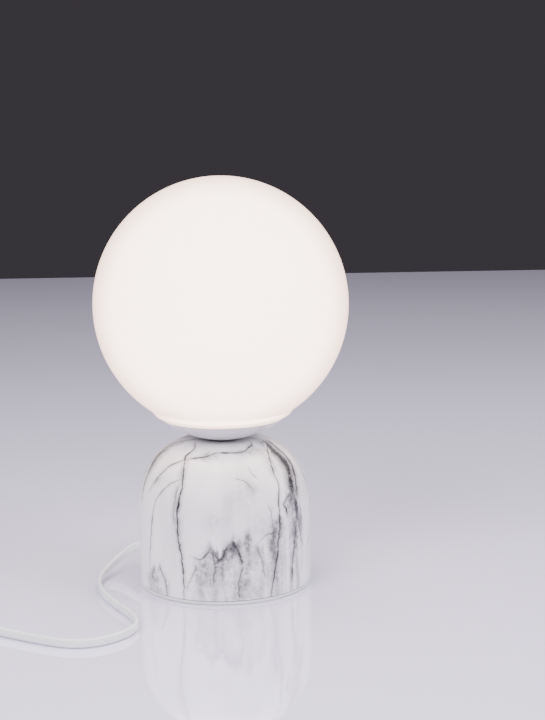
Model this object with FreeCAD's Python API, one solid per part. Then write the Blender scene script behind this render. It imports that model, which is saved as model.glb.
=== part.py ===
import FreeCAD, Part
import math
import os

# Table lamp: an opal glass globe in a shallow white cup, on a drum-shaped base with a domed shoulder.
# A flat white twin cord leaves low on the base, with a rocker switch, a tied coil and a two-pin plug on it.
# Millimetres, +Z up, origin in the middle of the foot, front towards -Y.
# Turns are degrees from +X about +Z.

# Foot and base plate
foot_radius = 67.9
foot_thickness = 1.0
plate_radius = 68.2
plate_thickness = 1.7
foot_edge = 0.3

# Base shell: an upright wall, then a quarter ellipse in to a flat crown
base_radius = 68.4
base_height = 116.5
shoulder_width = 44.8
shoulder_drop = 52.5
shell_wall = 1.5

# Iron weight on the plate, and the posts that the plate is screwed to
ballast_radius = 55.0
ballast_thickness = 11.0
ballast_edge = 1.0
post_radius = 5.0
post_ring_radius = 62.5
post_height = 11.3
fixing_turns = (100.0, 220.0, 340.0)
ballast_screw_ring_radius = 30.0

# Screws: head radius, shank radius, length, hexagon socket across flats
plate_screw = (2.8, 1.5, 10.0, 2.0)
ballast_screw = (3.6, 2.0, 9.0, 2.5)
clamp_screw = (2.75, 1.5, 22.0, 2.0)
switch_screw = (2.4, 1.25, 13.0, 1.5)
terminal_screw = (1.9, 1.3, 3.6, 1.2)
contact_screw = (2.0, 1.25, 3.4, 1.2)
screw_tip = 0.4
socket_part = 0.6
pan_head_height = 1.8
shank_clearance = 0.1

# Cup under the glass: a bowl cut from a ball, with a small flat seat on the crown
cup_ball_radius = 76.1
cup_wall = 1.2
cup_seat_radius = 8.0
cup_rim_radius = 48.8

# Glass globe: ball, thicker band above the seam, collar that stands in the cup
globe_radius = 100.0
glass_wall = 2.8
band_rise = 1.7
band_top_radius = 53.4
band_step_radius = 56.2
seam_gap = 0.3
glass_over_cup = 1.8
collar_end_height = 127.5
collar_bore_radius = 32.0

# Silicone ring between the cup and the glass
gasket_thickness = 1.5
gasket_inner_radius = 36.5
gasket_outer_radius = 42.5

# Threaded tube and its nuts and washers, from the crown up to the lampholder
tube_radius = 5.0
tube_bore_radius = 3.5
tube_hole_clearance = 0.2
tube_low_end = 104.0
tube_high_end = 131.0
crown_washer_radius = 14.0
crown_washer_thickness = 1.6
nut_across_flats = 14.0
nut_thickness = 4.0
nut_chamfer = 0.8
cup_washer_radius = 7.6
cup_washer_thickness = 1.0

# Spring with three arms that grips the bore of the glass collar.
# The arms' path is reach and rise over the ring.
spring_thickness = 0.6
spring_ring_radius = 12.5
arm_width = 6.0
arm_turns = (90.0, 210.0, 330.0)
arm_path = ((11.0, 0.0), (22.0, 3.3), (28.0, 6.0), (30.7, 8.6), (31.45, 10.8), (29.6, 14.2))

# Lampholder for a small screw cap
holder_foot_radius = 9.0
holder_bell = (3.0, 2.5)
holder_radius = 14.5
holder_shoulder_height = 131.0
holder_split_height = 141.0
cap_room_radius = 10.5
insert_radius = 12.4
insert_low = 139.0
insert_high = 150.0
holder_shell_radius = 14.2
holder_shell_bore = 9.6
mouth_radius = 8.6
mouth_low = 171.0
mouth_high = 173.0
mouth_edge = 1.5
sleeve_inner_radius = 7.25
sleeve_wall = 0.5
sleeve_high = 168.0
terminal_reach = 5.5
terminal_height = 144.5
tongue_width = 4.0
tongue_path = ((-6.4, 150.25), (-3.5, 150.25), (-1.5, 152.65), (2.2, 152.65))
tongue_thickness = 0.5

# Bulb, drawn from its contact up
bulb_tip_height = 153.0
bulb_tip_radius = 2.4
bulb_tip_thickness = 1.0
bulb_tip_edge = 0.5
bulb_tip_margin = 0.4
insulator_radius = 6.3
insulator_height = 3.0
insulator_plug = 2.0
cap_inner_radius = 5.9
cap_crest_radius = 6.95
thread_pitch = 2.82
thread_rings = 5
thread_lead = 0.6
thread_run_out = 0.4
cap_neck_radius = 6.45
bulb_body_low = 174.0
bulb_neck_radius = 7.4
bulb_radius = 22.5
bulb_throat_length = 21.5
bulb_throat_outer = (0.442, 12.0)
bulb_throat_inner = (0.535, 10.0)
bulb_throat_floor = 2.0
bulb_plug_length = 5.0
bulb_split_drop = 8.0
bulb_body_wall = 1.4
bulb_dome_wall = 1.0
led_board_radius = 19.6
led_board_thickness = 1.6
led_seat_radius = 18.4

# Flat cord, standing on its narrow edge
cord_thickness = 3.5
cord_height = 6.6
exit_turn = 160.0
exit_height = 22.0
exit_reach = 72.4
sheath_end_reach = 32.0
core_radius = 1.1

# Bushing in the shell's wall, along the cord
bushing_flange_radius = 6.4
bushing_flange_reach = 70.0
bushing_nose_radius = 4.7
bushing_boss_radius = 5.5
bushing_neck_radius = 4.9
bushing_neck_clearance = 0.05
bushing_collar_radius = 5.6
bushing_collar_reach = 65.6
bushing_tail_radius = 4.2
bushing_tail_reach = 50.4
bushing_edge = 0.5
bushing_shoulder_length = 3.0

# Cord clamp on the weight
clamp_reach = 40.0
clamp_length = 12.0
clamp_width = 24.0
clamp_gap = 0.6
clamp_bar_thickness = 3.0
clamp_screw_offset = 8.0

# Routes of the cores inside: reach along the exit line, offset across it, height
live_route = (
    (32.0, 0.0, 23.55), (26.5, 0.0, 23.55), (18.5, 1.0, 26.0), (9.5, 2.6, 34.0), (2.0, 3.3, 48.0),
    (-1.8, 2.6, 66.0), (0.7, 1.3, 97.0), (0.0, 1.25, 131.5), (0.0, 3.4, 134.4), (0.0, 5.5, 137.0),
    (0.0, 5.5, 146.0),
)
neutral_route = (
    (32.0, 0.0, 20.45), (25.5, 0.0, 20.45), (17.0, -1.0, 22.6), (8.0, -2.7, 31.0), (0.5, -3.4, 46.0),
    (-2.8, -2.5, 66.0), (0.7, -1.3, 96.0), (0.0, -1.25, 131.5), (0.0, -3.4, 134.4), (0.0, -5.5, 137.0),
    (0.0, -5.5, 146.0),
)

# Route of the cord on the table, from the bushing into the switch
power_route = (
    (-68.03, 24.76, 22.0), (-71.98, 26.2, 22.0), (-77.0, 27.9, 19.2), (-84.6, 27.5, 13.6), (-94.2, 17.8, 7.5),
    (-101.5, -4.9, 4.0), (-98.6, -34.7, 3.4), (-85.9, -66.3, 3.4), (-70.6, -95.3, 3.4), (-64.7, -118.5, 3.4),
    (-71.4, -137.5, 3.4), (-89.6, -154.8, 3.4), (-110.6, -158.0, 3.4), (-132.5, -146.9, 3.4),
    (-156.7, -131.8, 3.4), (-170.2, -122.4, 3.9), (-181.68, -114.39, 7.0), (-193.17, -106.39, 7.0),
)
# The same cord from the switch to the coil, and from the coil to the plug
far_route = (
    (-230.93, -80.11, 7.0), (-242.42, -72.12, 7.0), (-256.0, -62.2, 4.2), (-269.5, -47.0, 4.0),
    (-277.4, -27.0, 4.0), (-279.5, -13.5, 4.0), (-279.5, -1.6, 4.0),
)
plug_route = (
    (-279.5, 11.6, 11.5), (-279.5, 20.6, 11.5), (-279.2, 33.0, 8.6), (-276.0, 46.51, 6.9),
    (-271.81, 59.87, 6.9),
)

# Coil: two layers of turns, in and out again, tied with a band
coil_left = -279.5
coil_y = 5.0
coil_radius = 41.4
coil_pitch = 5.6
coil_low = 4.0
coil_high = 11.5
gap_spacing = 1.5
quarter_turns_each_way = 11
tie_width = 6.0
tie_thickness = 0.6
tie_slack = 0.5
tie_corner = 1.0

# Switch on the cord, in its own frame: length along the cord, pivot across it
switch_turn = 145.17
switch_middle = (-212.05, -93.25)
switch_length = 60.0
switch_width = 26.0
switch_split = 8.0
switch_height = 17.0
switch_corner = 6.0
switch_edge = 2.0
switch_room = (44.0, 20.0)
switch_floor = 1.8
switch_roof = 2.0
switch_opening = (20.0, 11.0)
switch_post_radius = 2.9
switch_posts = ((-15.5, 8.4), (15.5, -8.4))
pocket_depth = 7.0
pocket_height = 7.0
pocket_clearance = 0.05
same_height = 0.01

# Rocker, drawn level and tipped onto its ON stop
rocker_half_length = 9.0
rocker_width = 10.4
rocker_end_rise = 4.3
rocker_dip = 3.2
rocker_skirt = 2.6
rocker_pivot_height = 13.5
rocker_end_drop = 0.6
rocker_toe = 3.0
rocker_tip = 8.0
pin_radius = 1.2
pin_clearance = 0.06
pin_reach = 7.6
rib_inner = 5.6
rib_outer = 8.0
rib_half_length = 3.5
rib_low = 10.6

# Brass strips in the switch: low end, high end, middle across
contact_strips = ((-20.0, -2.5, -3.0), (2.5, 20.0, -3.0), (-20.0, 20.0, 3.0))
contact_width = 4.0
contact_thickness = 0.6
contact_rise = 3.0
contact_screw_reach = 17.0
contact_hole_low = 0.6

# Plug, lying flat, drawn from the cord's end along its length
plug_entry = (-274.2, 52.24)
plug_turn = 72.6
plug_length = 36.0
plug_width = 35.5
plug_thickness = 13.7
plug_tail_width = 11.0
plug_tail_height = 9.4
plug_taper_length = 15.0
plug_edge = 2.0
plug_pocket = 8.0
prong_spacing = 18.6
prong_radius = 2.0
prong_neck_radius = 1.6
prong_length = 19.0
prong_root = 8.0
prong_step = 3.0
prong_tip = 1.0
sleeve_length = 10.0
sleeve_radius = 1.95

# Heights and middles that follow from the sizes above
plate_low = foot_thickness
plate_high = plate_low + plate_thickness
ballast_high = plate_high + ballast_thickness
band_ball_radius = globe_radius + band_rise
shoulder_low = base_height - shoulder_drop
crown_radius = base_radius - shoulder_width
wall_bore = base_radius - shell_wall
crown_under = base_height - shell_wall
cup_ball_height = base_height + math.sqrt(cup_ball_radius ** 2 - cup_seat_radius ** 2)
cup_bore_radius = cup_ball_radius - cup_wall
cup_rim_height = cup_ball_height - math.sqrt(cup_ball_radius ** 2 - cup_rim_radius ** 2)
cup_floor = base_height + cup_wall
seam_height = cup_rim_height + seam_gap
globe_height = seam_height + math.sqrt(band_ball_radius ** 2 - cup_rim_radius ** 2)
cup_washer_high = cup_floor + cup_washer_thickness
spring_high = cup_washer_high + spring_thickness
cup_nut_high = spring_high + nut_thickness
crown_washer_low = crown_under - crown_washer_thickness
crown_nut_low = crown_washer_low - nut_thickness
cap_low = bulb_tip_height + bulb_tip_thickness + insulator_height
bulb_split_height = bulb_body_low + bulb_throat_length
bulb_centre_height = bulb_split_height + bulb_split_drop
tie_outer_reach = coil_radius - coil_pitch / 2
tie_inner_reach = tie_outer_reach - 2 * coil_pitch


def at(x, y, z):
    return FreeCAD.Vector(x, y, z)


origin = at(0, 0, 0)
up = at(0, 0, 1)


def polar(reach, turn, height):
    angle = math.radians(turn)
    return at(reach * math.cos(angle), reach * math.sin(angle), height)


outward = polar(1, exit_turn, 0)
across = up.cross(outward)


def along_exit(reach, offset, height):
    return outward * reach + across * offset + up * height


def ball_low(radius, centre, reach):
    # Height of a ball's lower side at a distance from the axis
    return centre - math.sqrt(radius ** 2 - reach ** 2)


def ball_middle(radius, centre, first, last, side):
    # Middle of the arc on a ball between two (reach, height) points, side -1 below and +1 above its centre
    reach = (first[0] + last[0]) / 2
    height = (first[1] + last[1]) / 2 - centre
    scale = radius / math.hypot(reach, height)
    return (reach * scale, centre + side * abs(height * scale), "middle")


def turned(path):
    # Solid turned about Z. Pairs are corners, a triple is the middle of an arc between the corners beside it.
    edges = []
    last = None
    middle = None
    for entry in list(path) + [path[0]]:
        spot = at(entry[0], 0, entry[1])
        if len(entry) == 3:
            middle = spot
            continue
        if last is not None and middle is not None:
            edges.append(Part.Arc(last, middle, spot).toShape())
        elif last is not None:
            edges.append(Part.makeLine(last, spot))
        last = spot
        middle = None
    return turned_edges(edges)


def turned_edges(edges):
    return Part.Face(Part.Wire(edges)).revolve(origin, up, 360)


def disc(radius, low, high):
    return Part.makeCylinder(radius, high - low, at(0, 0, low))


def ring(outer, inner, low, high):
    return disc(outer, low, high).cut(disc(inner, low, high))


def rod(radius, start, end):
    return Part.makeCylinder(radius, (end - start).Length, start, end - start)


def hexagon(across_flats, low, high):
    corner = across_flats / math.sqrt(3)
    corners = [polar(corner, 60 * step, low) for step in range(7)]
    return Part.Face(Part.makePolygon(corners)).extrude(at(0, 0, high - low))


def placed(shape, spot, direction):
    moved = shape.copy()
    moved.Placement = FreeCAD.Placement(spot, FreeCAD.Rotation(up, direction))
    return moved


def block(x_low, x_high, y_low, y_high, z_low, z_high):
    return Part.makeBox(x_high - x_low, y_high - y_low, z_high - z_low, at(x_low, y_low, z_low))


def sunk_screw(size):
    head, shank, length, key = size
    cone = head - shank
    path = [(0, 0), (head, 0), (shank, -cone), (shank, screw_tip - length)]
    path += [(shank - screw_tip, -length), (0, -length)]
    return turned(path).cut(hexagon(key, -cone * socket_part - screw_tip, 0))


def sunk_hole(size):
    head, shank, length, key = size
    clear = shank + shank_clearance
    return turned([(0, 0), (head, 0), (clear, clear - head), (clear, -length), (0, -length)])


def pan_screw(size):
    # The head stands on z 0
    head, shank, length, key = size
    path = [(0, pan_head_height), (head - screw_tip, pan_head_height), (head, pan_head_height - screw_tip)]
    path += [(head, 0), (shank, 0), (shank, screw_tip - length), (shank - screw_tip, -length), (0, -length)]
    return turned(path).cut(hexagon(key, pan_head_height * (1 - socket_part), pan_head_height))


def oval_wire(middle, forward, room=0.0):
    # Section of the cord, upright, square to the direction it runs in
    side = up.cross(forward).normalize()
    top = forward.cross(side).normalize()
    half = cord_thickness / 2 + room
    rise = (cord_height - cord_thickness) / 2
    corners = [middle + side * (half * x) + top * (rise * z) for x, z in ((1, -1), (1, 1), (-1, 1), (-1, -1))]
    crest = middle + top * (rise + half)
    foot = middle - top * (rise + half)
    return Part.Wire([
        Part.makeLine(corners[0], corners[1]),
        Part.Arc(corners[1], crest, corners[2]).toShape(),
        Part.makeLine(corners[2], corners[3]),
        Part.Arc(corners[3], foot, corners[0]).toShape(),
    ])


def oval_area():
    return math.pi * (cord_thickness / 2) ** 2 + cord_thickness * (cord_height - cord_thickness)


def oval_bar(start, end, room=0.0):
    return Part.Face(oval_wire(start, end - start, room)).extrude(end - start)


def bend(before, corner, after):
    # Arc at a corner, as large as its two runs allow: start, middle, end and radius
    come = corner - before
    leave = after - corner
    turn = come.getAngle(leave)
    cut_back = 0.45 * min(come.Length, leave.Length)
    radius = cut_back / math.tan(turn / 2)
    come.normalize()
    leave.normalize()
    inward = (leave - come).normalize()
    middle = corner + inward * (radius * (1 / math.cos(turn / 2) - 1))
    return corner - come * cut_back, middle, corner + leave * cut_back, radius


def route_wire(points):
    edges = []
    radii = []
    last = points[0]
    for before, corner, after in zip(points, points[1:], points[2:]):
        start, middle, end, radius = bend(before, corner, after)
        edges.append(Part.LineSegment(last, start).toShape())
        edges.append(Part.Arc(start, middle, end).toShape())
        radii.append(round(radius, 1))
        last = end
    edges.append(Part.LineSegment(last, points[-1]).toShape())
    return Part.Wire(edges), radii


def swept(wire, section, area, name, radii=(), upright=False):
    pipe = Part.BRepOffsetAPI.MakePipeShell(wire)
    if upright:
        pipe.setBiNormalMode(up)
    pipe.add(section)
    pipe.build()
    pipe.makeSolid()
    solid = pipe.shape()
    error = solid.Volume / (area * wire.Length) - 1
    print(name, "length", round(wire.Length, 1), "volume error", round(error, 4), "radii", list(radii))
    return solid


def cord_run(route, name):
    points = [at(*spot) for spot in route]
    wire, radii = route_wire(points)
    return swept(wire, oval_wire(points[0], points[1] - points[0]), oval_area(), name, radii, upright=True)


def core(route, name):
    points = [along_exit(*spot) for spot in route]
    wire, radii = route_wire(points)
    circle = Part.Wire(Part.Circle(points[0], points[1] - points[0], core_radius).toShape())
    return swept(wire, circle, math.pi * core_radius ** 2, name, radii)


def strip(path, thickness, width):
    # Bent strip: the path is in the XZ plane, the width is along Y
    spots = [at(x, 0, z) for x, z in path]
    sides = []
    for index, spot in enumerate(spots):
        before = spots[max(index - 1, 0)]
        after = spots[min(index + 1, len(spots) - 1)]
        come = (spot - before) if index else (after - spot)
        leave = (after - spot) if index < len(spots) - 1 else come
        come = at(come.x, 0, come.z).normalize()
        leave = at(leave.x, 0, leave.z).normalize()
        normal = at(-come.z - leave.z, 0, come.x + leave.x).normalize()
        sides.append(normal * (thickness / 2 / math.cos(come.getAngle(leave) / 2)))
    upper = [spot + side for spot, side in zip(spots, sides)]
    lower = [spot - side for spot, side in zip(spots, sides)]
    outline = upper + lower[::-1] + upper[:1]
    face = Part.Face(Part.makePolygon(outline))
    face.translate(at(0, -width / 2, 0))
    return face.extrude(at(0, width, 0))


def save(shape, node):
    solids = shape.Solids
    print(node, "solids", len(solids), "valid", shape.isValid(), "volume", round(shape.Volume, 1))
    kept = solids[0] if len(solids) == 1 else Part.makeCompound(solids)
    kept.exportStep("parts/" + node + ".step")


# Base
def foot_pad():
    edge = foot_thickness - foot_edge
    return turned([
        (0, 0), (foot_radius - foot_edge, 0), (foot_radius, foot_edge), (foot_radius, edge),
        (foot_radius, foot_thickness), (0, foot_thickness),
    ])


def screw_spots(reach):
    return [polar(reach, turn, plate_low) for turn in fixing_turns]


def base_plate():
    plate = turned([
        (0, plate_low), (plate_radius - foot_edge, plate_low), (plate_radius, plate_low + foot_edge),
        (plate_radius, plate_high - foot_edge), (plate_radius - foot_edge, plate_high), (0, plate_high),
    ])
    holes = [placed(sunk_hole(plate_screw), spot, -up) for spot in screw_spots(post_ring_radius)]
    ballast_spots = screw_spots(ballast_screw_ring_radius)
    holes += [placed(sunk_hole(ballast_screw), spot, -up) for spot in ballast_spots]
    return plate.cut(holes)


def screws_up(size, reach):
    return Part.makeCompound([placed(sunk_screw(size), spot, -up) for spot in screw_spots(reach)])


def clamp_screw_spots(height):
    return [along_exit(clamp_reach, side * clamp_screw_offset, height) for side in (-1, 1)]


def ballast_weight():
    slab = turned([
        (0, plate_high), (ballast_radius, plate_high), (ballast_radius, ballast_high - ballast_edge),
        (ballast_radius - ballast_edge, ballast_high), (0, ballast_high),
    ])
    spots = screw_spots(ballast_screw_ring_radius)
    holes = [rod(ballast_screw[1], spot, spot + up * ballast_screw[2]) for spot in spots]
    top = exit_height + cord_height / 2 + clamp_bar_thickness
    holes += [rod(clamp_screw[1], spot, spot - up * clamp_screw[2]) for spot in clamp_screw_spots(top)]
    return slab.cut(holes)


def shell_edges(reach, top, shoulder, fall):
    # Quarter ellipse from the crown's edge down to the upright wall
    centre = at(crown_radius, 0, shoulder_low)
    ellipse = Part.Ellipse(centre + up * fall, centre + at(shoulder, 0, 0), centre)
    quarter = Part.ArcOfEllipse(ellipse, 0, math.pi / 2).toShape()
    hole = tube_radius + tube_hole_clearance
    crown = Part.makeLine(at(hole, 0, top), at(crown_radius, 0, top))
    wall = Part.makeLine(at(reach, 0, shoulder_low), at(reach, 0, plate_high))
    return [crown, quarter, wall]


def marble_shell():
    outside = shell_edges(base_radius, base_height, shoulder_width, shoulder_drop)
    inside = shell_edges(wall_bore, crown_under, shoulder_width - shell_wall, shoulder_drop - shell_wall)
    hole = tube_radius + tube_hole_clearance
    ends = [
        Part.makeLine(at(base_radius, 0, plate_high), at(wall_bore, 0, plate_high)),
        Part.makeLine(at(hole, 0, crown_under), at(hole, 0, base_height)),
    ]
    edges = Part.sortEdges(outside + inside + ends)[0]
    cord_hole = rod(bushing_neck_radius + bushing_neck_clearance, along_exit(ballast_radius, 0, exit_height),
                    along_exit(exit_reach, 0, exit_height))
    return turned_edges(edges).cut(cord_hole)


def shell_posts():
    posts = []
    for turn in fixing_turns:
        foot = polar(post_ring_radius, turn, plate_high)
        post = rod(post_radius, foot, foot + up * post_height)
        post = post.common(disc(wall_bore, plate_high, base_height))
        hole_end = foot + up * (plate_screw[2] - plate_thickness)
        posts.append(post.cut(rod(plate_screw[1], foot, hole_end)))
    return Part.makeCompound(posts)


# Cord bushing, clamp and cores
def exit_turned(path):
    # Turned about the exit line: the second value is the distance out along it
    return placed(turned(path), at(0, 0, exit_height), outward)


def cord_bushing():
    edge_radius = bushing_flange_radius - bushing_edge
    edge_reach = bushing_flange_reach - bushing_edge
    outside = exit_turned([
        (0, ballast_radius), (bushing_flange_radius, ballast_radius), (bushing_flange_radius, edge_reach),
        (edge_radius, bushing_flange_reach), (bushing_boss_radius, bushing_flange_reach),
        (bushing_nose_radius, exit_reach), (0, exit_reach),
    ]).cut(disc(base_radius, 0, base_height))
    neck = exit_turned([
        (0, bushing_collar_reach), (bushing_neck_radius, bushing_collar_reach),
        (bushing_neck_radius, edge_reach), (0, edge_reach),
    ])
    inside = exit_turned([
        (0, bushing_tail_reach), (bushing_tail_radius, bushing_tail_reach),
        (bushing_neck_radius, bushing_collar_reach - bushing_shoulder_length),
        (bushing_collar_radius, bushing_collar_reach), (bushing_collar_radius, base_radius), (0, base_radius),
    ]).common(disc(wall_bore, 0, base_height))
    return outside.fuse([neck, inside]).removeSplitter().cut(inner_cord())


def inner_cord():
    return oval_bar(along_exit(exit_reach, 0, exit_height), along_exit(sheath_end_reach, 0, exit_height))


def clamp_block(low, high):
    half = clamp_length / 2
    slab = block(clamp_reach - half, clamp_reach + half, -clamp_width / 2, clamp_width / 2, low, high)
    slab.rotate(origin, up, exit_turn)
    screws = [rod(clamp_screw[1], spot, spot - up * (high - low)) for spot in clamp_screw_spots(high)]
    return slab.cut(screws)


def cord_clamp_base():
    high = exit_height + cord_height / 2 - clamp_gap
    slot = block(0, base_radius, -cord_thickness / 2, cord_thickness / 2, exit_height, base_height)
    slot.rotate(origin, up, exit_turn)
    return clamp_block(ballast_high, high).cut([inner_cord(), slot])


def cord_clamp_bar():
    low = exit_height + cord_height / 2
    return clamp_block(low, low + clamp_bar_thickness)


def clamp_screws():
    top = exit_height + cord_height / 2 + clamp_bar_thickness
    return Part.makeCompound([placed(pan_screw(clamp_screw), spot, up) for spot in clamp_screw_spots(top)])


# Tube, nuts, washers and cup
def threaded_tube():
    return ring(tube_radius, tube_bore_radius, tube_low_end, tube_high_end)


def tube_nut(low):
    high = low + nut_thickness
    half_flats = nut_across_flats / 2
    corner = nut_across_flats / math.sqrt(3)
    chamfered = turned([
        (0, low), (half_flats, low), (corner, low + nut_chamfer), (corner, high - nut_chamfer),
        (half_flats, high), (0, high),
    ])
    nut = hexagon(nut_across_flats, low, high).common(chamfered)
    return nut.cut(disc(tube_radius, low, high))


def globe_cup():
    rim_inner = math.sqrt(cup_bore_radius ** 2 - (cup_ball_height - cup_rim_height) ** 2)
    seat_inner = math.sqrt(cup_bore_radius ** 2 - (cup_ball_height - cup_floor) ** 2)
    hole = tube_radius + tube_hole_clearance
    seat = (cup_seat_radius, base_height)
    rim = (cup_rim_radius, cup_rim_height)
    rim_in = (rim_inner, cup_rim_height)
    seat_in = (seat_inner, cup_floor)
    return turned([
        (hole, base_height), seat, ball_middle(cup_ball_radius, cup_ball_height, seat, rim, -1), rim,
        rim_in, ball_middle(cup_bore_radius, cup_ball_height, rim_in, seat_in, -1), seat_in,
        (hole, cup_floor),
    ])


def clip_spider():
    hub = ring(spring_ring_radius, tube_radius + tube_hole_clearance, cup_washer_high, spring_high)
    middle = (cup_washer_high + spring_high) / 2
    arms = []
    for turn in arm_turns:
        arm = strip([(reach, middle + rise) for reach, rise in arm_path], spring_thickness, arm_width)
        arm.rotate(origin, up, turn)
        arms.append(arm)
    return hub.fuse(arms).removeSplitter()


def glass_gasket():
    low_radius = cup_bore_radius
    high_radius = cup_bore_radius - gasket_thickness
    corners = []
    for radius, reach in ((low_radius, gasket_inner_radius), (low_radius, gasket_outer_radius),
                          (high_radius, gasket_outer_radius), (high_radius, gasket_inner_radius)):
        corners.append((reach, ball_low(radius, cup_ball_height, reach)))
    low_middle = ball_middle(low_radius, cup_ball_height, corners[0], corners[1], -1)
    high_middle = ball_middle(high_radius, cup_ball_height, corners[2], corners[3], -1)
    return turned([corners[0], low_middle, corners[1], corners[2], high_middle, corners[3]])


# Glass
def glass_globe():
    inner_radius = globe_radius - glass_wall
    shelf_radius = cup_bore_radius - glass_over_cup
    shelf_in = (math.sqrt(shelf_radius ** 2 - (cup_ball_height - seam_height) ** 2), seam_height)
    collar_reach = math.sqrt(shelf_radius ** 2 - (cup_ball_height - collar_end_height) ** 2)
    collar_out = (collar_reach, collar_end_height)
    collar_in = (collar_bore_radius, collar_end_height)
    bore_top = (collar_bore_radius, ball_low(inner_radius, globe_height, collar_bore_radius))
    top_in = (0, globe_height + inner_radius)
    top_out = (0, globe_height + globe_radius)
    step_high = (band_step_radius, ball_low(globe_radius, globe_height, band_step_radius))
    step_low = (band_top_radius, ball_low(band_ball_radius, globe_height, band_top_radius))
    seam = (cup_rim_radius, seam_height)
    return turned([
        top_out, (globe_radius, globe_height, "middle"), step_high, step_low,
        ball_middle(band_ball_radius, globe_height, step_low, seam, -1), seam,
        shelf_in, ball_middle(shelf_radius, cup_ball_height, shelf_in, collar_out, -1), collar_out, collar_in,
        bore_top, (inner_radius, globe_height, "middle"), top_in,
    ])


# Lampholder
def lampholder_cap():
    return turned([
        (tube_radius, cup_nut_high), (holder_foot_radius, cup_nut_high),
        (holder_foot_radius + holder_bell[0], cup_nut_high + holder_bell[1]),
        (holder_radius, holder_shoulder_height), (holder_radius, holder_split_height),
        (insert_radius, holder_split_height), (insert_radius, insert_low), (cap_room_radius, insert_low),
        (cap_room_radius, holder_shoulder_height), (tube_radius, holder_shoulder_height),
    ])


def lampholder_shell():
    return turned([
        (insert_radius, holder_split_height), (holder_shell_radius, holder_split_height),
        (holder_shell_radius, mouth_high - mouth_edge), (holder_shell_radius - mouth_edge, mouth_high),
        (mouth_radius, mouth_high),
        (mouth_radius, mouth_low), (holder_shell_bore, mouth_low), (holder_shell_bore, insert_high),
        (insert_radius, insert_high),
    ])


def terminal_line(side, reach):
    return along_exit(0, side * reach, terminal_height)


def lampholder_insert():
    body = disc(insert_radius, insert_low, insert_high)
    cuts = []
    for side in (-1, 1):
        foot = along_exit(0, side * terminal_reach, insert_low)
        cuts.append(rod(core_radius, foot, foot + up * (live_route[-1][2] - insert_low)))
        head = terminal_line(side, insert_radius)
        inner = terminal_line(side, insert_radius - pan_head_height - screw_tip)
        cuts.append(rod(terminal_screw[0], inner, head))
        cuts.append(rod(terminal_screw[1], terminal_line(side, terminal_reach), inner))
    return body.cut(cuts)


def terminal_screws():
    seat = insert_radius - pan_head_height - screw_tip
    screws = [placed(pan_screw(terminal_screw), terminal_line(side, seat), across * side) for side in (-1, 1)]
    return Part.makeCompound(screws)


def screw_sleeve():
    return ring(sleeve_inner_radius + sleeve_wall, sleeve_inner_radius, insert_high, sleeve_high)


def centre_contact():
    tongue = strip(tongue_path, tongue_thickness, tongue_width)
    tongue.rotate(origin, up, exit_turn)
    return tongue


# Bulb
def bulb_contact():
    high = bulb_tip_height + bulb_tip_thickness
    return turned([
        (0, bulb_tip_height), (bulb_tip_radius - bulb_tip_edge, bulb_tip_height),
        (bulb_tip_radius, bulb_tip_height + bulb_tip_edge), (bulb_tip_radius, high), (0, high),
    ])


def bulb_insulator():
    low = bulb_tip_height + bulb_tip_thickness
    plug_high = cap_low + insulator_plug
    return turned([
        (0, low), (bulb_tip_radius + bulb_tip_margin, low), (insulator_radius, cap_low),
        (cap_inner_radius, cap_low), (cap_inner_radius, plug_high), (0, plug_high),
    ])


def bulb_cap():
    root = insulator_radius
    path = [(cap_inner_radius, cap_low), (root, cap_low)]
    low = cap_low + thread_lead
    path.append((root, low))
    for step in range(thread_rings):
        path.append((cap_crest_radius, low + thread_pitch * (step + 0.5), "middle"))
        path.append((root, low + thread_pitch * (step + 1)))
    thread_high = low + thread_pitch * thread_rings
    path += [(cap_neck_radius, thread_high + thread_run_out), (cap_neck_radius, bulb_body_low)]
    path.append((cap_inner_radius, bulb_body_low))
    return turned(path)


def bulb_housing():
    rim = math.sqrt(bulb_radius ** 2 - (bulb_centre_height - bulb_split_height) ** 2)
    plug_low = bulb_body_low - bulb_plug_length
    plug_bore = cap_inner_radius - bulb_body_wall
    outer_share, outer_reach = bulb_throat_outer
    inner_share, inner_reach = bulb_throat_inner
    return turned([
        (plug_bore, plug_low), (cap_inner_radius, plug_low), (cap_inner_radius, bulb_body_low),
        (bulb_neck_radius, bulb_body_low),
        (outer_reach, bulb_body_low + outer_share * bulb_throat_length, "middle"),
        (rim, bulb_split_height), (led_seat_radius, bulb_split_height),
        (inner_reach, bulb_body_low + inner_share * bulb_throat_length, "middle"),
        (plug_bore, bulb_body_low + bulb_throat_floor),
    ])


def bulb_led_board():
    return disc(led_board_radius, bulb_split_height, bulb_split_height + led_board_thickness)


def bulb_dome():
    inner_radius = bulb_radius - bulb_dome_wall
    drop = bulb_centre_height - bulb_split_height
    rim = math.sqrt(bulb_radius ** 2 - drop ** 2)
    rim_in = math.sqrt(inner_radius ** 2 - drop ** 2)
    return turned([
        (rim, bulb_split_height), (bulb_radius, bulb_centre_height, "middle"),
        (0, bulb_centre_height + bulb_radius), (0, bulb_centre_height + inner_radius),
        (inner_radius, bulb_centre_height, "middle"), (rim_in, bulb_split_height),
    ])


# Coil of cord
def biarc(start, start_way, end, end_way):
    # Two arcs that meet smoothly between two points with given directions
    gap = end - start
    both = start_way + end_way
    depth = 2 * (1 - start_way.dot(end_way))
    reach = (-gap.dot(both) + math.sqrt(gap.dot(both) ** 2 + depth * gap.dot(gap))) / depth
    join = (start + end + (start_way - end_way) * reach) * 0.5
    join_way = (end - end_way * reach - start - start_way * reach).normalize()
    return [smooth_arc(start, start_way, join), smooth_arc(join, join_way, end)]


def smooth_arc(start, way, end):
    chord = end - start
    line = chord / chord.Length
    turn = way.getAngle(chord)
    lift = (way - line * way.dot(line)).normalize()
    middle = (start + end) * 0.5 + lift * (chord.Length / 2 * math.tan(turn / 2))
    return Part.Arc(start, middle, end).toShape()


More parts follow.
